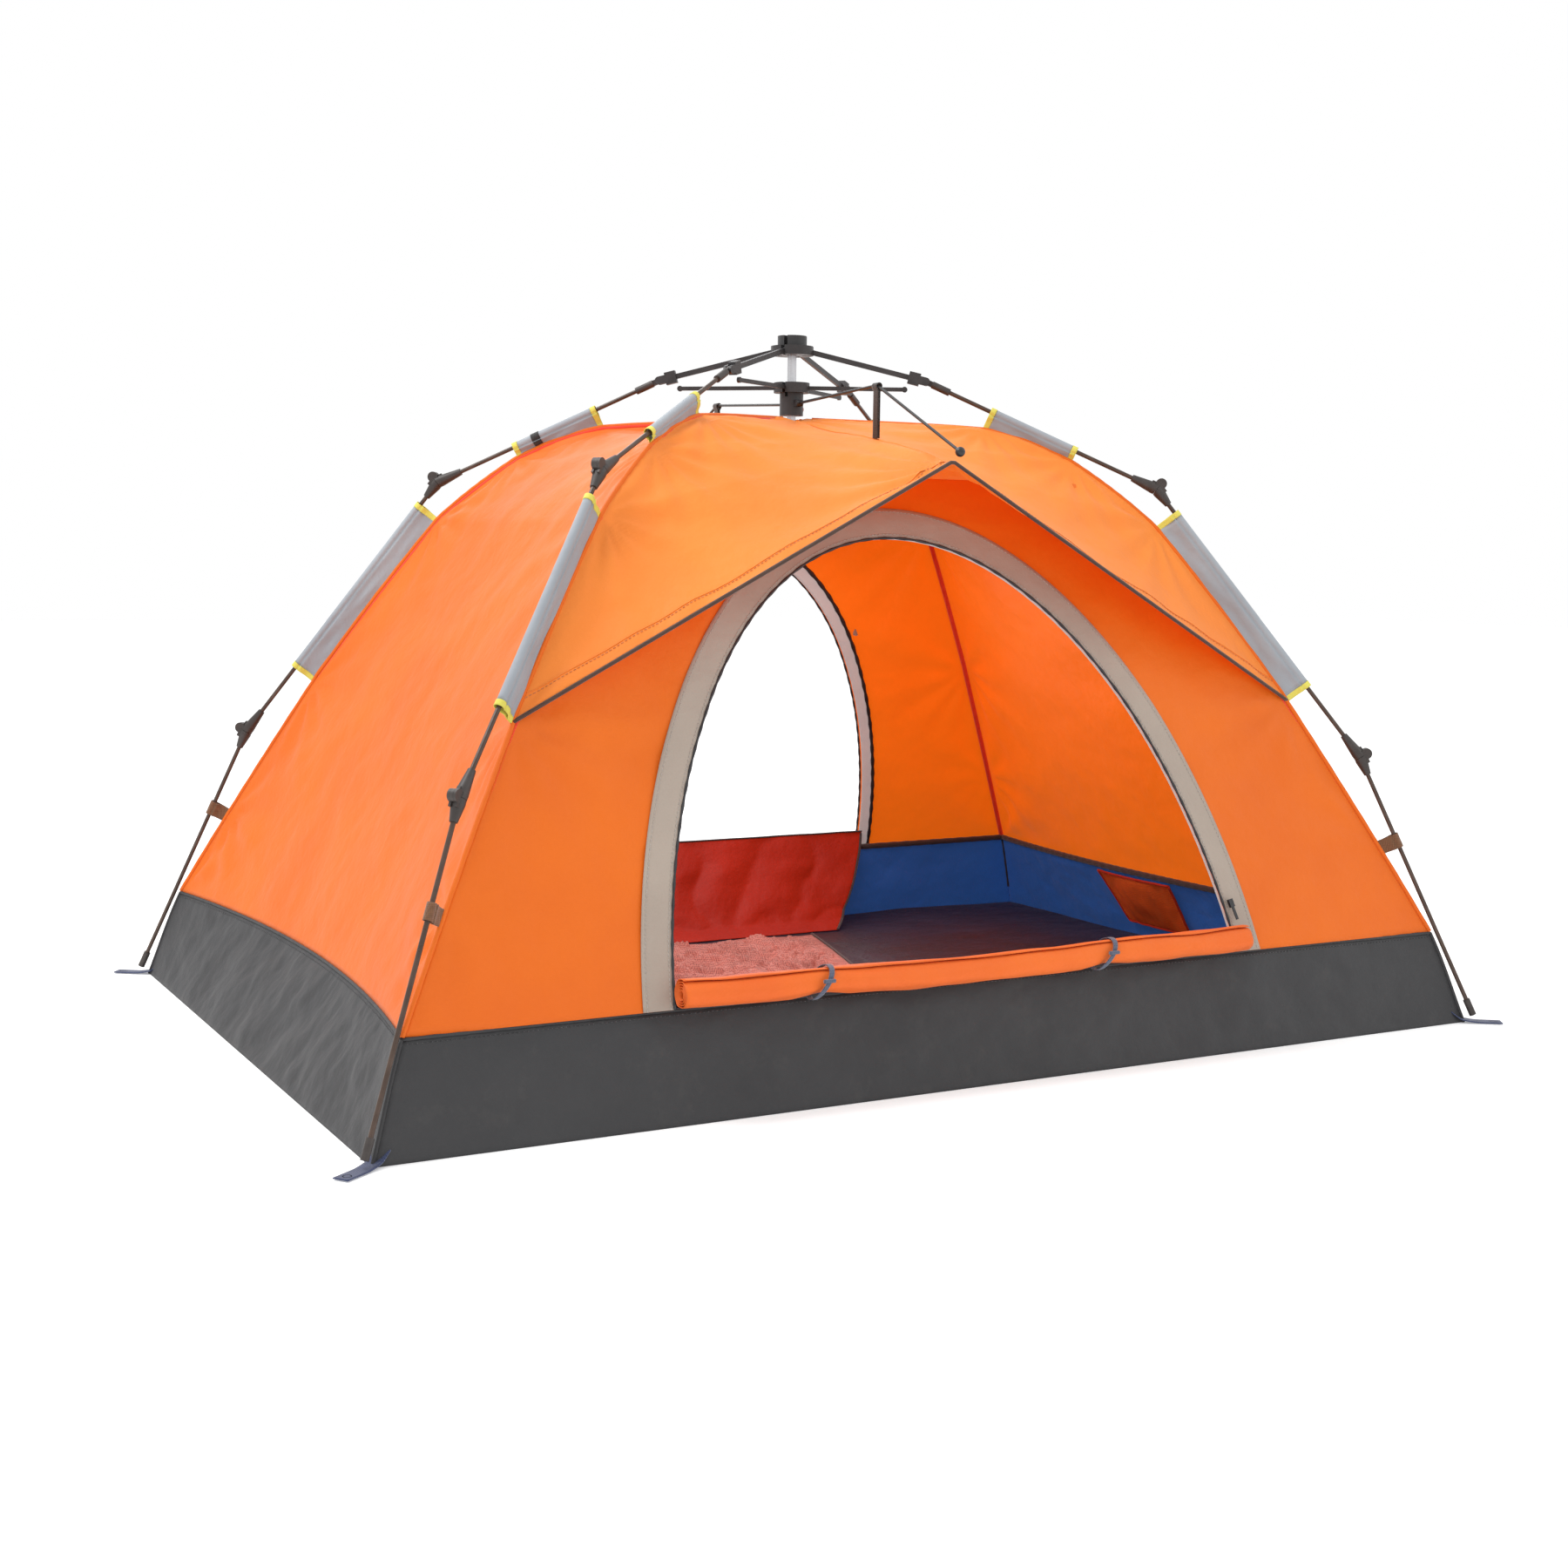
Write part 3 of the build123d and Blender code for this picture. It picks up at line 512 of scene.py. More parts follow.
# ---- Canopy ----
def end_place(u, v):
    """The side panel that faces -X: u along Y, v from the skirt to the apex."""
    z = PANEL_FOOT + (APEX_Z - 0.002 - PANEL_FOOT) * (1 - (1 - v) ** 1.6)
    r = seam_point(z)
    hang = end_sag(z) * (1 - u * u)
    steep = min(1.0, max(0.0, (APEX_Z - z) / 0.25))
    drop = 0.022 * (1 - u * u) * (1 - steep) * min(1.0, r / 0.2)
    return (-r * TO_X + hang * steep, u * (r * TO_Y - 0.001), z - drop)


def sleeve_pulls(mirror_x=1, mirror_y=1):
    """Points of the corner seam where the sleeves and tabs pull the cloth."""
    pulls = []
    for k, (r, z) in enumerate([TAB_ON_SEAM] + SEAM[2:6]):
        place = (mirror_x * r * TO_X, mirror_y * r * TO_Y, z)
        pulls.append((place, 0.0052 - 0.0006 * k, 0.17, 9 + k, 1.3 * k))
    return pulls


def end_panel(name, half_turn, seed):
    grid = sheet_grid(end_place, even(-1, 1, 170), even(0, 1, 170))
    corner_pull = [((-1.155 * TO_X, s * 1.155 * TO_Y, PANEL_FOOT), 0.006, 0.22, 11, seed) for s in (-1, 1)]
    pulls = sleeve_pulls(-1, -1) + sleeve_pulls(-1, 1) + corner_pull
    rise = pull_folds(grid, pulls) + crumple(grid, 0.0045, 0.16, seed)
    rise += pucker(grid, ("left", "right", "low"))
    grid = outward(turned(raise_grid(grid, rise), half_turn), (0, 0, 0.3))
    obj = cloth_object(name, [grid], name, ORANGE, INSIDE_ORANGE_PAINTED_LIGHT)


end_panel("left_panel", False, 3.1)
end_panel("right_panel", True, 8.4)

ROOF_SEAM = [p for p in reversed(SEAM) if p[1] >= EAVE_FOOT[1]]
ROOF_RUN = np.concatenate([[0], np.cumsum([hypot(b[0] - a[0], b[1] - a[1])
                                           for a, b in zip(ROOF_SEAM, ROOF_SEAM[1:])])])
ROOF_LIFT = 0.005
ROOF_START = Vector((0, -0.010, APEX_Z))


def roof_place(u, v):
    """The roof over one door: v runs from the apex to the free edge of the eave."""
    z = np.interp(v * ROOF_RUN[-1], ROOF_RUN, [p[1] for p in ROOF_SEAM])
    r = seam_point(z)
    side = Vector(((r * TO_X - 0.001) * (1 if u > 0 else -1), -r * TO_Y, z + ROOF_LIFT))
    middle = ROOF_START.lerp(EAVE_TIP + Vector((0, 0, ROOF_LIFT)), v)
    reach = abs(u)
    point = middle.lerp(side, reach)
    point.z -= 0.004 * sin(pi * reach) * sin(pi * v ** 1.5)
    return point


def roof_panel(name, half_turn, seed):
    grid = sheet_grid(roof_place, even(-1, 1, 200), even(0.012, 1, 120))
    tip_pull = [(tuple(EAVE_TIP), 0.0065, 0.20, 15, 0.4), ((0, -0.02, APEX_Z), 0.003, 0.2, 12, 1.0)]
    pulls = sleeve_pulls(-1, -1)[1:] + sleeve_pulls(1, -1)[1:] + tip_pull
    rise = pull_folds(grid, pulls) + crumple(grid, 0.0032, 0.15, seed)
    rise += pucker(grid, ("left", "right", "high"))
    shaped = turned(raise_grid(grid, rise), half_turn)
    skin = outward(shaped, (0, 0, 0.2))
    obj = cloth_object(name, [skin], name, ROOF_ORANGE_PAINTED_LIGHT, INSIDE_ORANGE_PAINTED_LIGHT)
    return shaped


roofs = [roof_panel("front_roof_panel", False, 1.7), roof_panel("back_roof_panel", True, 5.2)]
tube("eave_piping", [roof[-1] + np.array((0, 0, -0.001)) for roof in roofs], 0.0032, PIPING)
tube("centre_seams", [roof[:, 100] + np.array((0, 0, 0.0006)) for roof in roofs], 0.0022, ROOF_ORANGE_PAINTED_LIGHT,
     flatten=0.6)
tube("eave_hem_fold", [roof[-6] + np.array((0, 0, 0.0004)) for roof in roofs], 0.0012, ROOF_ORANGE_PAINTED_LIGHT,
     flatten=0.6, sides=6)
stitch_row("eave_stitches", [roof[-5] + np.array((0, 0, 0.0012)) for roof in roofs], THREAD)


def wall_point(x, z, push=0.0):
    """On the wall that faces -Y, hanging in a little below the eave."""
    r = seam_point(z)
    wide = max(0.05, r * TO_X)
    hang = 0.012 * max(0.0, 1 - (x / wide) ** 2) * sin(pi * min(1.0, max(0.0, (z - PANEL_FOOT) / 0.8)))
    return (x, -r * TO_Y + hang - push, z + 0.3 * push)


def reach_of(inside, angle, far=1.6):
    """How far the ray at an angle from the sill's middle stays inside."""
    low, high = 0.0, far
    for _ in range(26):
        middle = (low + high) / 2
        x, z = DOOR_X + middle * cos(angle), PANEL_FOOT + middle * sin(angle)
        low, high = (middle, high) if inside(x, z) else (low, middle)
    return low


def in_door(grow):
    """A test for points inside the doorway's ellipse, made larger all round by grow."""
    half = DOOR_HALF + grow
    tall = DOOR_TOP - DOOR_CENTRE + grow

    def inside(x, z):
        return ((x - DOOR_X) / half) ** 2 + ((z - DOOR_CENTRE) / tall) ** 2 < 1
    return inside


def in_wall(x, z):
    return z < WALL_TOP and abs(x) < seam_point(z) * TO_X - 0.002


def ring_grid(inner, outer, angles, steps, push=0.0):
    """A grid between two outlines round the doorway."""
    rows = []
    for s in even(0, 1, steps):
        row = []
        for angle in angles:
            a, b = reach_of(inner, angle), reach_of(outer, angle)
            t = a + (b - a) * s
            row.append(wall_point(DOOR_X + t * cos(angle), PANEL_FOOT + t * sin(angle), push))
        rows.append(row)
    return np.array(rows)


ARCH = even(pi, 0, 220)


def door_wall(name, half_turn, seed):
    grid = ring_grid(in_door(0), in_wall, ARCH, 60)
    pulls = sleeve_pulls(-1, -1)[:3] + sleeve_pulls(1, -1)[:3]
    pulls += [((s * 1.155 * TO_X, -1.155 * TO_Y, PANEL_FOOT), 0.0055, 0.20, 11, seed + s) for s in (-1, 1)]
    rise = pull_folds(grid, pulls) + crumple(grid, 0.0038, 0.14, seed) + pucker(grid, ("low", "high"))
    grid = outward(turned(raise_grid(grid, rise, fade=0.16), half_turn), (0, 0, 0.3))
    obj = cloth_object(name, [grid], name, ORANGE, INSIDE_ORANGE_PAINTED_LIGHT)


door_wall("front_wall", False, 2.3)
door_wall("back_wall", True, 6.6)

tape_grids = [turned(ring_grid(in_door(-0.001), in_door(TAPE), ARCH, 9, push=0.0030), k) for k in (0, 1)]
tape_grids = [outward(grid, (0, 0, 0.3)) for grid in tape_grids]
door_tapes = cloth_object("door_tapes", tape_grids, "door_tapes", TAPE_GREY, thickness=0.0016)
for side, rows in (("inner", 1), ("outer", -2)):
    lines = [grid[rows] + 0.0007 * grid_normals(grid)[rows] for grid in tape_grids]
    stitch_row(f"tape_stitches_{side}", lines, THREAD_GREY)
tube("zip_coils", [grid[0] for grid in tape_grids], 0.0021, ZIP_BLACK, bumps=0.25)
inner_ring = ring_grid(in_door(-0.0005), in_door(INNER_TAPE), ARCH, 6, push=-0.0055)
inner_tapes = [outward(turned(inner_ring, k), (0, 0, 0.3)) for k in (0, 1)]
cloth_object("inner_door_tape", inner_tapes, None, TAPE_INSIDE_PAINTED_LIGHT, thickness=0.0010)
tube("inner_zip_coils", [grid[-1] for grid in inner_tapes], 0.0042, ZIP_BLACK, bumps=0.2)

seam_lines = []
for sx, sy in CORNERS.values():
    line = []
    for z in list(even(PANEL_FOOT, 0.90, 60)) + list(even(0.905, APEX_Z - 0.001, 40)):
        r = seam_point(z)
        line.append((sx * r * TO_X, sy * r * TO_Y, z + (0.0035 if z > EAVE_FOOT[1] else 0.001)))
    seam_lines.append(line)
tube("corner_seams", seam_lines, 0.0038, ORANGE, sides=10, bumps=0.06)
inner_lines = [[(p[0] * 0.992, p[1] * 0.992, p[2] - 0.004) for p in line] for line in seam_lines]
tube("inner_seam_binding", inner_lines, 0.0052, SEAM_RED, flatten=1.0)


# ---- Skirt and tub ----
def base_place(half_along, half_out, inset, sag, top):
    """One side of the base, facing -Y before it is turned: u along, v up."""
    def place(u, v):
        z = top * v
        shrink = seam_point(max(z, 1e-4)) / HALF_DIAG
        bow = sag * (1 - u * u) * v
        return (u * (half_along * shrink - inset), -(half_out * shrink - inset) + bow, z)
    return place


def base_sides(inset, top, seed, height, rows=24):
    grids = []
    sides = [(HALF_X, HALF_Y, 0.010, 0), (HALF_Y, HALF_X, END_SAG, 1), (HALF_X, HALF_Y, 0.010, 2),
             (HALF_Y, HALF_X, END_SAG, 3)]
    for along, out, sag, quarter in sides:
        grid = sheet_grid(base_place(along, out, inset, sag, top), even(-1, 1, 190), even(0, 1, rows))
        rise = crumple(grid, height, 0.09, seed + quarter) + pucker(grid, ("high", "left", "right"), 0.0015)
        grid = raise_grid(grid, rise, fade=0.10)
        turn = np.array(Matrix.Rotation(-quarter * pi / 2, 3, "Z"))
        grids.append(outward(grid @ turn.T, (0, 0, 0.08)))
    return grids


skirt_grids = base_sides(0.0, SKIRT_TOP, 11.0, 0.006)
skirt = cloth_object("base_skirt", skirt_grids, "base_skirt", SKIRT_GREY)
tube("skirt_top_seam", [grid[-1] for grid in skirt_grids], 0.0026, SKIRT_GREY, bumps=0.08)
stitch_row("skirt_stitches", [grid[-2] + 0.0006 * grid_normals(grid)[-2] for grid in skirt_grids], BINDING)
tube("skirt_corner_seams", [grid[:, 0] for grid in skirt_grids], 0.0030, SKIRT_GREY)

tub_grids = base_sides(0.010, TUB_TOP, 11.0, 0.006)


def floor_place(u, v):
    x, y = u * (HALF_X - 0.008), (2 * v - 1) * (HALF_Y - 0.008)
    ripple = noise.fractal(Vector((x * 3.2, y * 4.1, 4.4)), 1.0, 2.0, 3)
    return (x, y, 0.0025 + 0.006 * max(0.0, 0.5 + ripple))


floor_grid = sheet_grid(floor_place, even(-1, 1, 180), even(0, 1, 130))
tub = cloth_object("groundsheet_tub", tub_grids, "groundsheet", TUB_BLUE, thickness=0.0012)
floor = cloth_object("groundsheet_floor", [floor_grid], None, FLOOR_DARK, offset=-1)
tube("tub_binding", [grid[-1] for grid in tub_grids], 0.0062, BINDING, flatten=1.0, bumps=0.06)
tube("tub_corner_binding", [grid[6:, 0] for grid in tub_grids], 0.0048, BINDING, bumps=0.06)


# ---- Pole sleeves ----
def unit(a, b):
    length = hypot(b[0] - a[0], b[1] - a[1])
    return ((b[0] - a[0]) / length, (b[1] - a[1]) / length)


def sleeve_grid(span, start, end, radius, seed, rows):
    """The sleeve's cloth round the pole and down to the seam, as a closed loop at each row."""
    ridge_a, ridge_b, pole_a, pole_b = span
    along = unit(pole_a, pole_b)
    out = (-along[1], along[0]) if along[0] > 0 else (along[1], -along[0])
    loops = []
    for k, s in enumerate(even(start, end, rows)):
        centre = (pole_a[0] + along[0] * s, pole_a[1] + along[1] * s)
        whole = ((ridge_a[0] - pole_a[0]) * along[0] + (ridge_a[1] - pole_a[1]) * along[1],
                 (ridge_b[0] - pole_a[0]) * along[0] + (ridge_b[1] - pole_a[1]) * along[1])
        t = (s - whole[0]) / (whole[1] - whole[0])
        root = (ridge_a[0] + (ridge_b[0] - ridge_a[0]) * t, ridge_a[1] + (ridge_b[1] - ridge_a[1]) * t)
        depth = (centre[0] - root[0]) * out[0] + (centre[1] - root[1]) * out[1]
        loop = []
        for side in (1, -1):
            drops = even(1, 0, 9) if side == 1 else even(0, 1, 9)
            for drop in drops:
                down = radius * 0.9 + (depth - radius * 0.9 - 0.002) * drop
                gape = radius * 0.80 * (1 - drop) ** 2.4 + 0.0012
                sway = 0.0050 * drop * (1 - drop) * 4 * noise.noise(Vector((s * 17, seed, drop * 2)))
                loop.append((down, side * gape + sway))
            if side == 1:
                for angle in even(-0.25 * pi, 1.25 * pi, 13):
                    loop.append((-radius * sin(angle), radius * cos(angle)))
        loops.append([(centre[0] - out[0] * down, across, centre[1] - out[1] * down)
                      for down, across in loop])
    return np.array(loops)


def leg_turn(sx, sy):
    angle = atan2(sy * HALF_Y, sx * HALF_X)
    return np.array(Matrix.Rotation(angle, 3, "Z"))


def sleeve_ends(span):
    ridge_a, ridge_b, pole_a, pole_b = span
    along = unit(pole_a, pole_b)
    start, end = [(p[0] - pole_a[0]) * along[0] + (p[1] - pole_a[1]) * along[1] for p in (ridge_a, ridge_b)]
    return max(start, SOCKET_CLEAR), end


HEM = 0.010
SLEEVE_RADIUS, HEM_RADIUS, TAB_RADIUS, BAND_RADIUS = 0.0075, 0.0083, 0.0072, 0.0088
sleeve_grids, hem_grids = [], []
for number, (sx, sy) in enumerate(CORNERS.values()):
    turn = leg_turn(sx, sy)
    for k, span in enumerate(SLEEVE_SPANS):
        start, end = sleeve_ends(span)
        seed = 3.7 * number + 1.9 * k
        body = sleeve_grid(span, start + HEM * 0.9, end - HEM * 0.9, SLEEVE_RADIUS, seed, 40)
        sleeve_grids.append(body @ turn.T)
        for low, high in ((start, start + HEM), (end - HEM, end)):
            hem_grids.append(sleeve_grid(span, low, high, HEM_RADIUS, seed, 5) @ turn.T)
pole_sleeves = cloth_object("pole_sleeves", sleeve_grids, "pole_sleeves", SLEEVE_GREY,
                            thickness=0.0007, closed=False)
cloth_object("sleeve_hems", hem_grids, "sleeve_hems", HEM_YELLOW, thickness=0.0009)


# ---- Doors ----
def rolled(centre, radius, half, turns, seed):
    """A panel rolled up: a spiral section that swells, dents and sags between its ties."""
    rows = []
    for x in even(-half, half, 150):
        near_tie = min(min(abs(x + DOOR_X - tie) for tie in TIES_AT) / 0.05, 1.0)
        size = radius * (0.80 + 0.16 * near_tie + 0.05 * noise.noise(Vector((x * 9, seed, 0))))
        lift = -0.006 * (1 - abs(x) / half) * near_tie + 0.004 * noise.noise(Vector((x * 5, seed, 7)))
        row = []
        for t in even(0, 1, 110):
            angle = 2 * pi * turns * t + 0.7
            lay = size * (0.30 + 0.70 * t)
            dent = 1 + 0.10 * noise.noise(Vector((x * 14, cos(angle) * 1.6 + seed, sin(angle) * 1.6)))
            squash = 0.94 if sin(angle) < 0 else 1.0
            y = centre[0] + lay * dent * cos(angle)
            z = centre[1] + lift + lay * dent * squash * sin(angle)
            row.append((x, y, z))
        rows.append(row)
    return np.array(rows)


ROLL_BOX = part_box("front_door_roll")
roll_centre = ((ROLL_BOX[0][1] + ROLL_BOX[1][1]) / 2, (ROLL_BOX[0][2] + ROLL_BOX[1][2]) / 2)
roll_half = (ROLL_BOX[1][0] - ROLL_BOX[0][0]) / 2 - 0.004
roll_grid = rolled(roll_centre, 0.0235, roll_half, 4.2, 2.2) + np.array((DOOR_X, 0, 0))
door_roll = cloth_object("front_door_roll", [roll_grid], "front_door_roll", DOOR_ORANGE,
                         thickness=0.0008, offset=0)


def tie_grids():
    """Narrow ties round the roll, each slanting as it crosses the front."""
    grids = []
    for x in TIES_AT:
        rows = []
        for across in even(-TIE_WIDTH / 2, TIE_WIDTH / 2, 6):
            row = []
            for angle in even(0, 2 * pi, 49):
                radius = 0.0245 + 0.0006 * sin(3 * angle)
                row.append((x + across + TIE_SLANT * sin(angle), roll_centre[0] + radius * cos(angle),
                            roll_centre[1] + radius * sin(angle)))
            rows.append(row)
        grids.append(np.array(rows))
    return grids


cloth_object("toggle_ties", tie_grids(), "toggle_ties", WEB_TIE,
             thickness=0.0014, offset=0)
toggles = [[(x + t, roll_centre[0] - 0.0285, roll_centre[1] + 0.006) for t in even(-0.009, 0.009, 9)]
           for x in TIES_AT]
tube("toggle_bars", toggles, 0.0030, WEB_TIE, sides=12, bumps=0.05)


def dropped_place(u, v):
    """The back door panel over its sill and down to the floor, in soft vertical folds."""
    path = [(0.634, 0.202, 0.540), (0.618, 0.155, 0.520), (0.600, 0.110, 0.498), (0.572, 0.060, 0.468),
            (0.548, 0.026, 0.442), (0.507, 0.009, 0.408)]
    run = even(0, 1, len(path))
    y, z, right = [np.interp(v, run, [p[k] for p in path]) for k in range(3)]
    fold = 0.012 * sin(11 * u + 1.4 * sin(3 * u)) * sin(pi * min(1.0, v * 1.3) ** 0.8)
    fold += 0.008 * noise.noise(Vector((u * 6, v * 4, 3.3)))
    x = -0.468 + (right + 0.468) * (u + 1) / 2
    return (x, y - abs(fold), max(0.0105, z + 0.35 * abs(fold) * v))


dropped_grid = outward(sheet_grid(dropped_place, even(-1, 1, 150), even(0, 1, 44)), (0, 0.9, 0.2))
back_door = cloth_object("back_door_panel", [dropped_grid], "back_door_panel", DOOR_PAINTED_SHADE,
                         thickness=0.0009)
edge = np.concatenate([dropped_grid[::-1, 0], dropped_grid[0, 1:], dropped_grid[1:, -1]])
tube("back_door_binding", [edge], 0.0030, BINDING, flatten=0.6)

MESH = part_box("back_mesh_panel")


def crumpled_place(u, v):
    """Mesh dropped in a heap: folds across its width, lifted and turned over at random."""
    width, depth = MESH[1][0] - MESH[0][0], MESH[1][1] - MESH[0][1]
    y = MESH[0][1] + depth * (0.03 + 0.94 * v) + 0.012 * sin(9 * u + 3 * v)
    x = (MESH[0][0] + MESH[1][0]) / 2 + width * 0.48 * u - 0.10 * (1 - v) * max(0.0, u)
    folds = noise.fractal(Vector((u * 4.2 + 0.8 * v, v * 5.5 + 1.5 * u, 9.1)), 0.8, 2.1, 4)
    crest = 1 - min(1.0, abs(folds) * 2.6)
    ripple = 0.5 + 0.5 * sin(17 * v + 5 * sin(3.1 * u) + 3 * folds)
    edge = min(1.0, 8 * min(v, 1 - v, (1 - abs(u)) / 2))
    return (x, y, 0.0095 + 0.019 * edge * (0.55 * crest ** 2 + 0.45 * ripple * crest))


crumpled = outward(sheet_grid(crumpled_place, even(-1, 1, 190), even(0, 1, 150)), (0, 0.3, -1))
mesh_heap = cloth_object("back_mesh_panel", [crumpled], "back_mesh_panel", MESH_PINK,
                         thickness=0.0006)
mesh_edges = [crumpled[:, column] + np.array((0, 0, 0.002)) for column in (0, -1)]
tube("mesh_edge_binding", mesh_edges, 0.0028, BINDING, flatten=0.6)

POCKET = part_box("mesh_pocket")


def pocket_place(u, v):
    """The pocket on the right tub wall, bellied out in its middle and gathered at its top."""
    y = (POCKET[0][1] + POCKET[1][1]) / 2 + u * (POCKET[1][1] - POCKET[0][1]) / 2
    z = POCKET[0][2] + (POCKET[1][2] - POCKET[0][2]) * v
    wall = seam_point(z) * TO_X - 0.014 - END_SAG * (1 - (y / HALF_Y) ** 2) * z / SKIRT_TOP
    bag = 0.006 + 0.016 * (1 - u * u) * sin(pi * (0.10 + 0.75 * v))
    bag += 0.003 * noise.noise(Vector((u * 5, v * 3, 6)))
    return (wall - bag, y - 0.02 * (1 - v) * u, z)


pocket_grid = outward(sheet_grid(pocket_place, even(-1, 1, 50), even(0, 1, 22)), (2, 0, 0))
pocket = cloth_object("mesh_pocket", [pocket_grid], "mesh_pocket", MESH_RED, thickness=0.0006)
rim = np.concatenate([pocket_grid[::-1, 0], pocket_grid[0, 1:], pocket_grid[1:, -1]])
# The pocket's binding uses the door's dark red, which is painted shade.
tube("pocket_binding", [rim, pocket_grid[-1]], 0.0026, DOOR_PAINTED_SHADE)


# ---- Webbing ----
def strap_grid(path, half_width, across):
    """Flat webbing along a path of points, its width along the across direction."""
    path, across = np.array(path, dtype=float), np.array(across, dtype=float)
    return np.array([[p + across * half_width * s for s in even(-1, 1, 7)] for p in path])


def in_leg_plane(points):
    return [(r, 0.0, z) for r, z in points]


def smooth_path(points, count):
    """Evenly spaced points on a rounded path through given points."""
    points = np.array(points, dtype=float)
    run = np.concatenate([[0], np.linalg.norm(np.diff(points, axis=0), axis=1).cumsum()])
    fine = even(0, run[-1], count)
    line = np.stack([np.interp(fine, run, points[:, k]) for k in range(points.shape[1])], axis=1)
    for _ in range(3):
        line[1:-1] = 0.25 * line[:-2] + 0.5 * line[1:-1] + 0.25 * line[2:]
    return line


TAB_SPAN = ((0.890, 0.564), (1.155, 0.159), KNEE_2, FOOT)
TAB_REACH = (0.150, 0.176)      # where the tab starts and ends along the lower pole
tab_grids, strap_grids = [], []
for sx, sy in CORNERS.values():
    turn = leg_turn(sx, sy)
    tab_grids.append(sleeve_grid(TAB_SPAN, *TAB_REACH, TAB_RADIUS, 5.0, 8) @ turn.T)
    path = smooth_path(in_leg_plane([(1.196, 0.020), (1.214, 0.006), (1.240, 0.0022), (1.286, 0.0022)]), 24)
    strap_grids.append(strap_grid(path, 0.0125, (0, 1, 0)) @ turn.T)
cloth_object("pole_tabs", tab_grids, "pole_tabs", WEB_BROWN, thickness=0.0012)
cloth_object("corner_straps", strap_grids, "corner_straps", WEB_NAVY,
             thickness=0.0016, offset=0)

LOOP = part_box("webbing_loops")
ROD_PIVOT, ROD_BEND = (-0.0275, 1.080), (-0.295, 1.0925)


def loop_path():
    """Up from the roof's centre seam, round the eave rod and back down."""
    y, top = ROD_BEND
    low = LOOP[0][2]
    points = [(0.0022, y, low), (0.0022, y, top - 0.008)]
    points += [(0.0058 * cos(a), y, top + 0.0058 * sin(a)) for a in even(-0.20 * pi, 1.20 * pi, 15)]
    points += [(-0.0022, y, top - 0.008), (-0.0022, y, low)]
    return points


loop_grids = [turned(strap_grid(loop_path(), 0.008, (0, 1, 0)), k) for k in (0, 1)]
BAND_START, BAND_WIDTH = 0.240, 0.016
black_band = sleeve_grid(SLEEVE_SPANS[0], BAND_START, BAND_START + BAND_WIDTH, BAND_RADIUS, 3.7 * 2, 5)
loop_grids.append(black_band @ leg_turn(*CORNERS["back_left"]).T)
cloth_object("webbing_loops", loop_grids, "webbing_loops", WEB_BLACK, thickness=0.0012)


# ---- CAD pieces: better materials and softened edges ----
def finish_cad(prefixes, material, edge=0.0006):
    for name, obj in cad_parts.items():
        if name.startswith(prefixes):
            for slot in obj.material_slots:
                slot.material = material
            bevel = obj.modifiers.new("edges", "BEVEL")
            bevel.width = edge
            bevel.segments = 2
            bevel.limit_method = "ANGLE"
            bevel.angle_limit = radians(40)


finish_cad(("hub_arm", "strut", "crown", "lower_housing"), HUB_BLACK)
finish_cad(("hub_shaft", "peg_eyelets"), STEEL, 0.0004)
finish_cad(("upper_pole_fittings", "middle_pole_fittings", "lower_pole_fittings"), ELBOW_BLACK, 0.0008)
for leg in CORNERS:
    finish_cad((f"upper_pole_{leg}", f"middle_pole_{leg}", f"lower_pole_{leg}"), POLE_BROWN, 0.0003)
finish_cad(("front_eave_rod", "back_eave_rod"), ROD_BLACK, 0.0003)
finish_cad(("release_button",), BUTTON_RED, 0.0006)


def zip_pull(side):
    """A copy of the slider that flattens with the cloth, because its body stays up as the hub drops."""
    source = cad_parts[f"{side}_zip_slider"]
    points = [tuple(source.matrix_world @ vertex.co) for vertex in source.data.vertices]
    faces = [tuple(face.vertices) for face in source.data.polygons]
    obj = mesh_object(f"{side}_zip_pull", points, faces, smooth=False)
    obj.data.materials.append(ZIP_BLACK)
    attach(obj, f"{side}_zip")
    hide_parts(f"{side}_zip_slider")
    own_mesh(obj)


zip_pull("front")
zip_pull("back")


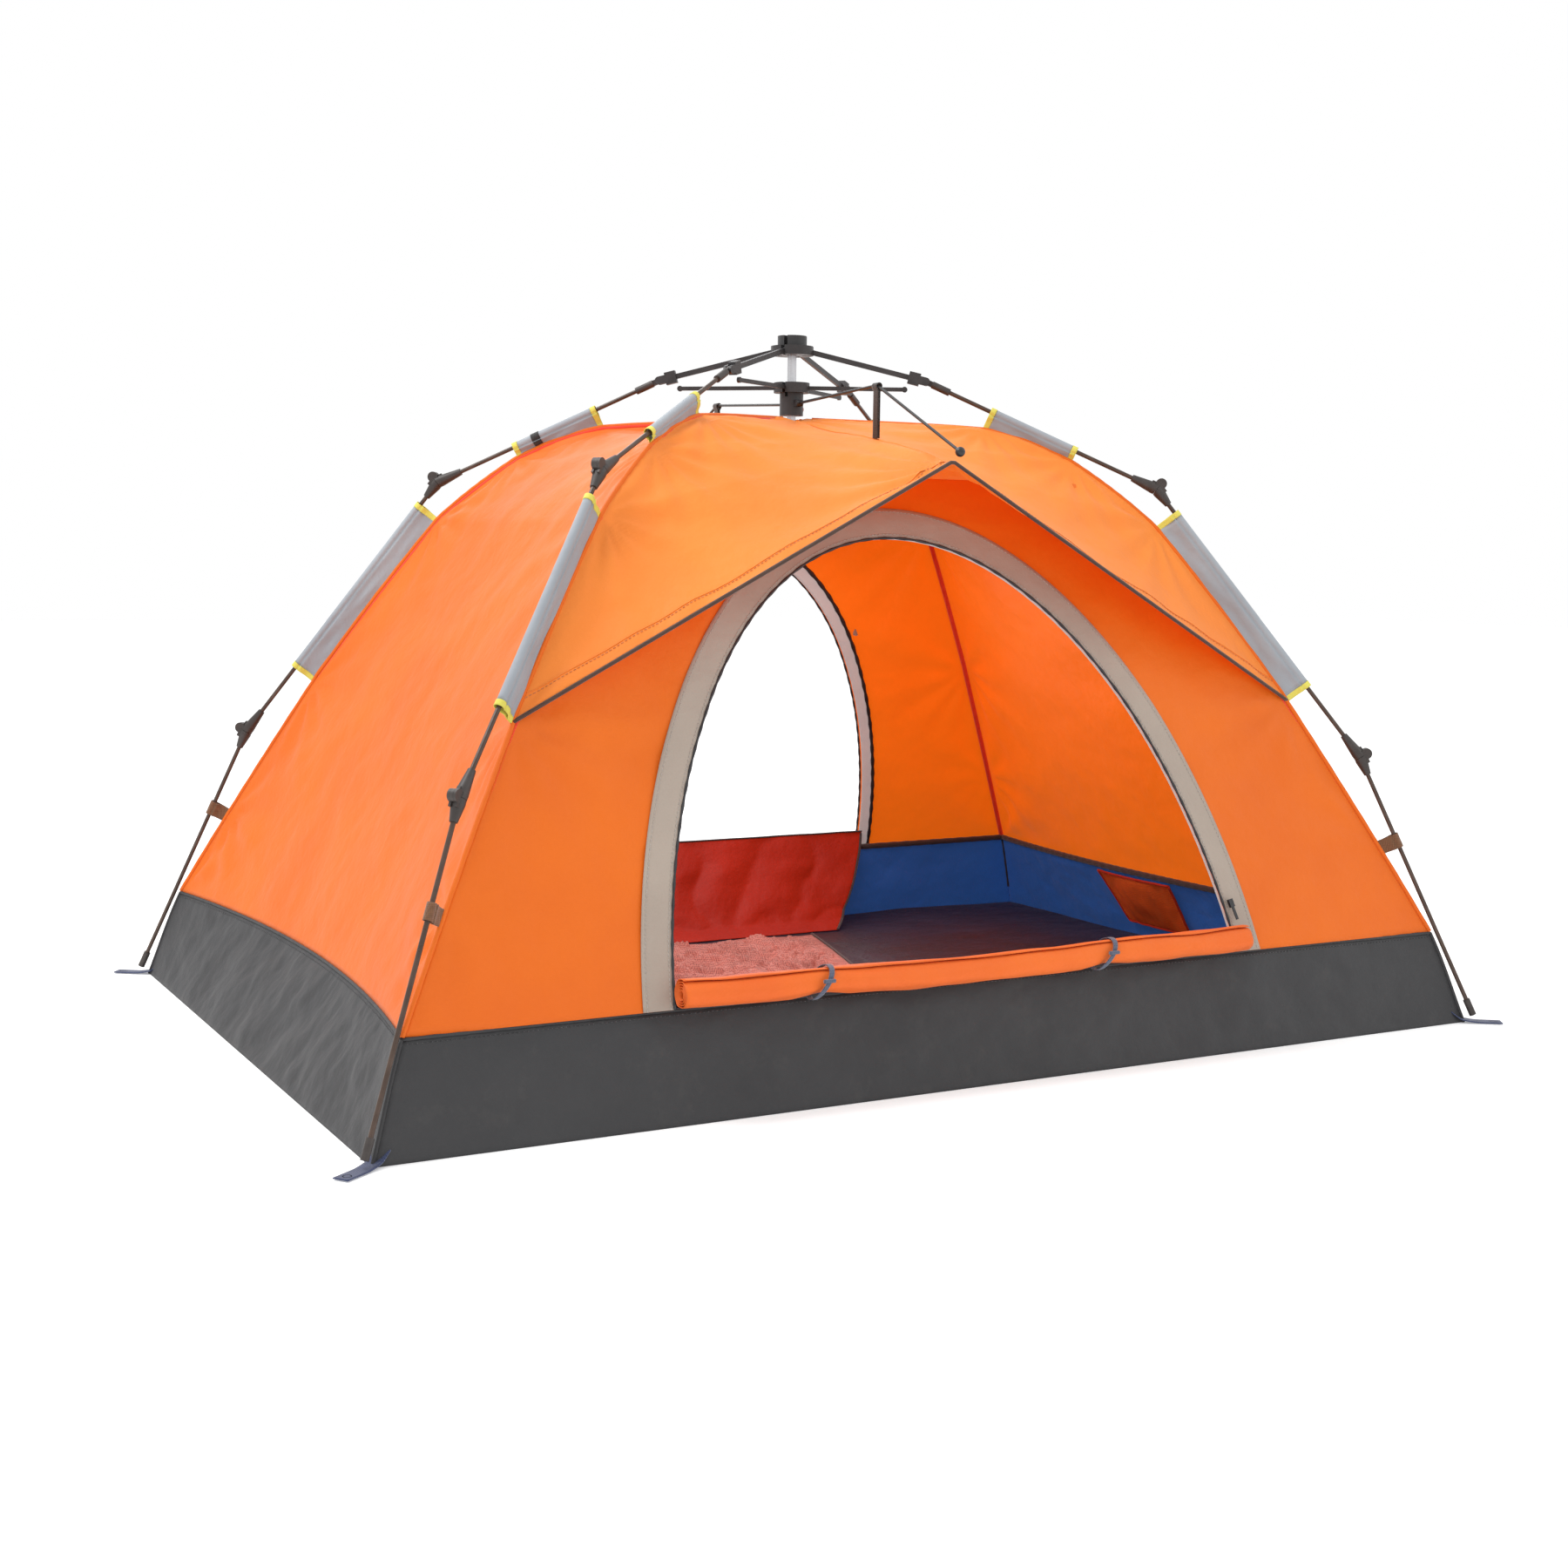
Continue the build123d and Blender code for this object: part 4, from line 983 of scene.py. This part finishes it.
# ---- Floor, light and camera ----
def studio():
    bpy.ops.mesh.primitive_plane_add(size=40, location=(0, 0, -0.0005))
    ground = bpy.context.object
    ground.name = "studio_floor"
    material, nodes, links, shader = node_material("studio_floor", 0.9)
    shader.inputs["Base Color"].default_value = (0.9, 0.9, 0.9, 1)
    shader.inputs["Emission Color"].default_value = (1, 1, 1, 1)
    shader.inputs["Emission Strength"].default_value = 0.25
    ground.data.materials.append(material)
    world = bpy.data.worlds.new("studio")
    bpy.context.scene.world = world
    world.use_nodes = True
    world.node_tree.nodes["Background"].inputs["Color"].default_value = (1.0, 1.0, 1.0, 1)
    world.node_tree.nodes["Background"].inputs["Strength"].default_value = 1.0
    lamps = [("key", (-1.9, 0.3, 3.5), 1.6, 74), ("fill", (3.6, -3.0, 3.4), 3.0, 30),
             ("back", (0.5, 4.5, 3.8), 3.0, 60), ("inside", (0, 0, 0.82), 0.5, 5)]
    for name, place, size, power in lamps:
        lamp = bpy.data.lights.new(name, "AREA")
        lamp.energy = power
        lamp.size = size
        obj = bpy.data.objects.new(name, lamp)
        bpy.context.collection.objects.link(obj)
        obj.location = place
        target = Vector((0, 0, 0.0 if name == "inside" else 0.5))
        obj.rotation_euler = (target - Vector(place)).to_track_quat("-Z", "Y").to_euler()


CAMERA_PLACE = (-1.796, -3.271, 0.810)
YAW, PITCH, ROLL = 0.50102, 0.110603, 0.01349
LENS_MM = 47.19
SENSOR_MM = 36.0


def camera():
    ahead = Vector((sin(YAW) * cos(PITCH), cos(YAW) * cos(PITCH), -sin(PITCH)))
    level = Vector((cos(YAW), -sin(YAW), 0))
    over = level.cross(ahead)
    right = cos(ROLL) * level + sin(ROLL) * over
    up = -sin(ROLL) * level + cos(ROLL) * over
    lens = bpy.data.cameras.new("camera")
    lens.lens = LENS_MM
    lens.sensor_width = SENSOR_MM
    obj = bpy.data.objects.new("camera", lens)
    bpy.context.collection.objects.link(obj)
    turn = Matrix((right, up, -ahead)).transposed()
    obj.matrix_world = Matrix.Translation(CAMERA_PLACE) @ turn.to_4x4()
    bpy.context.scene.camera = obj


studio()
camera()
bpy.context.scene.view_settings.view_transform = "Standard"
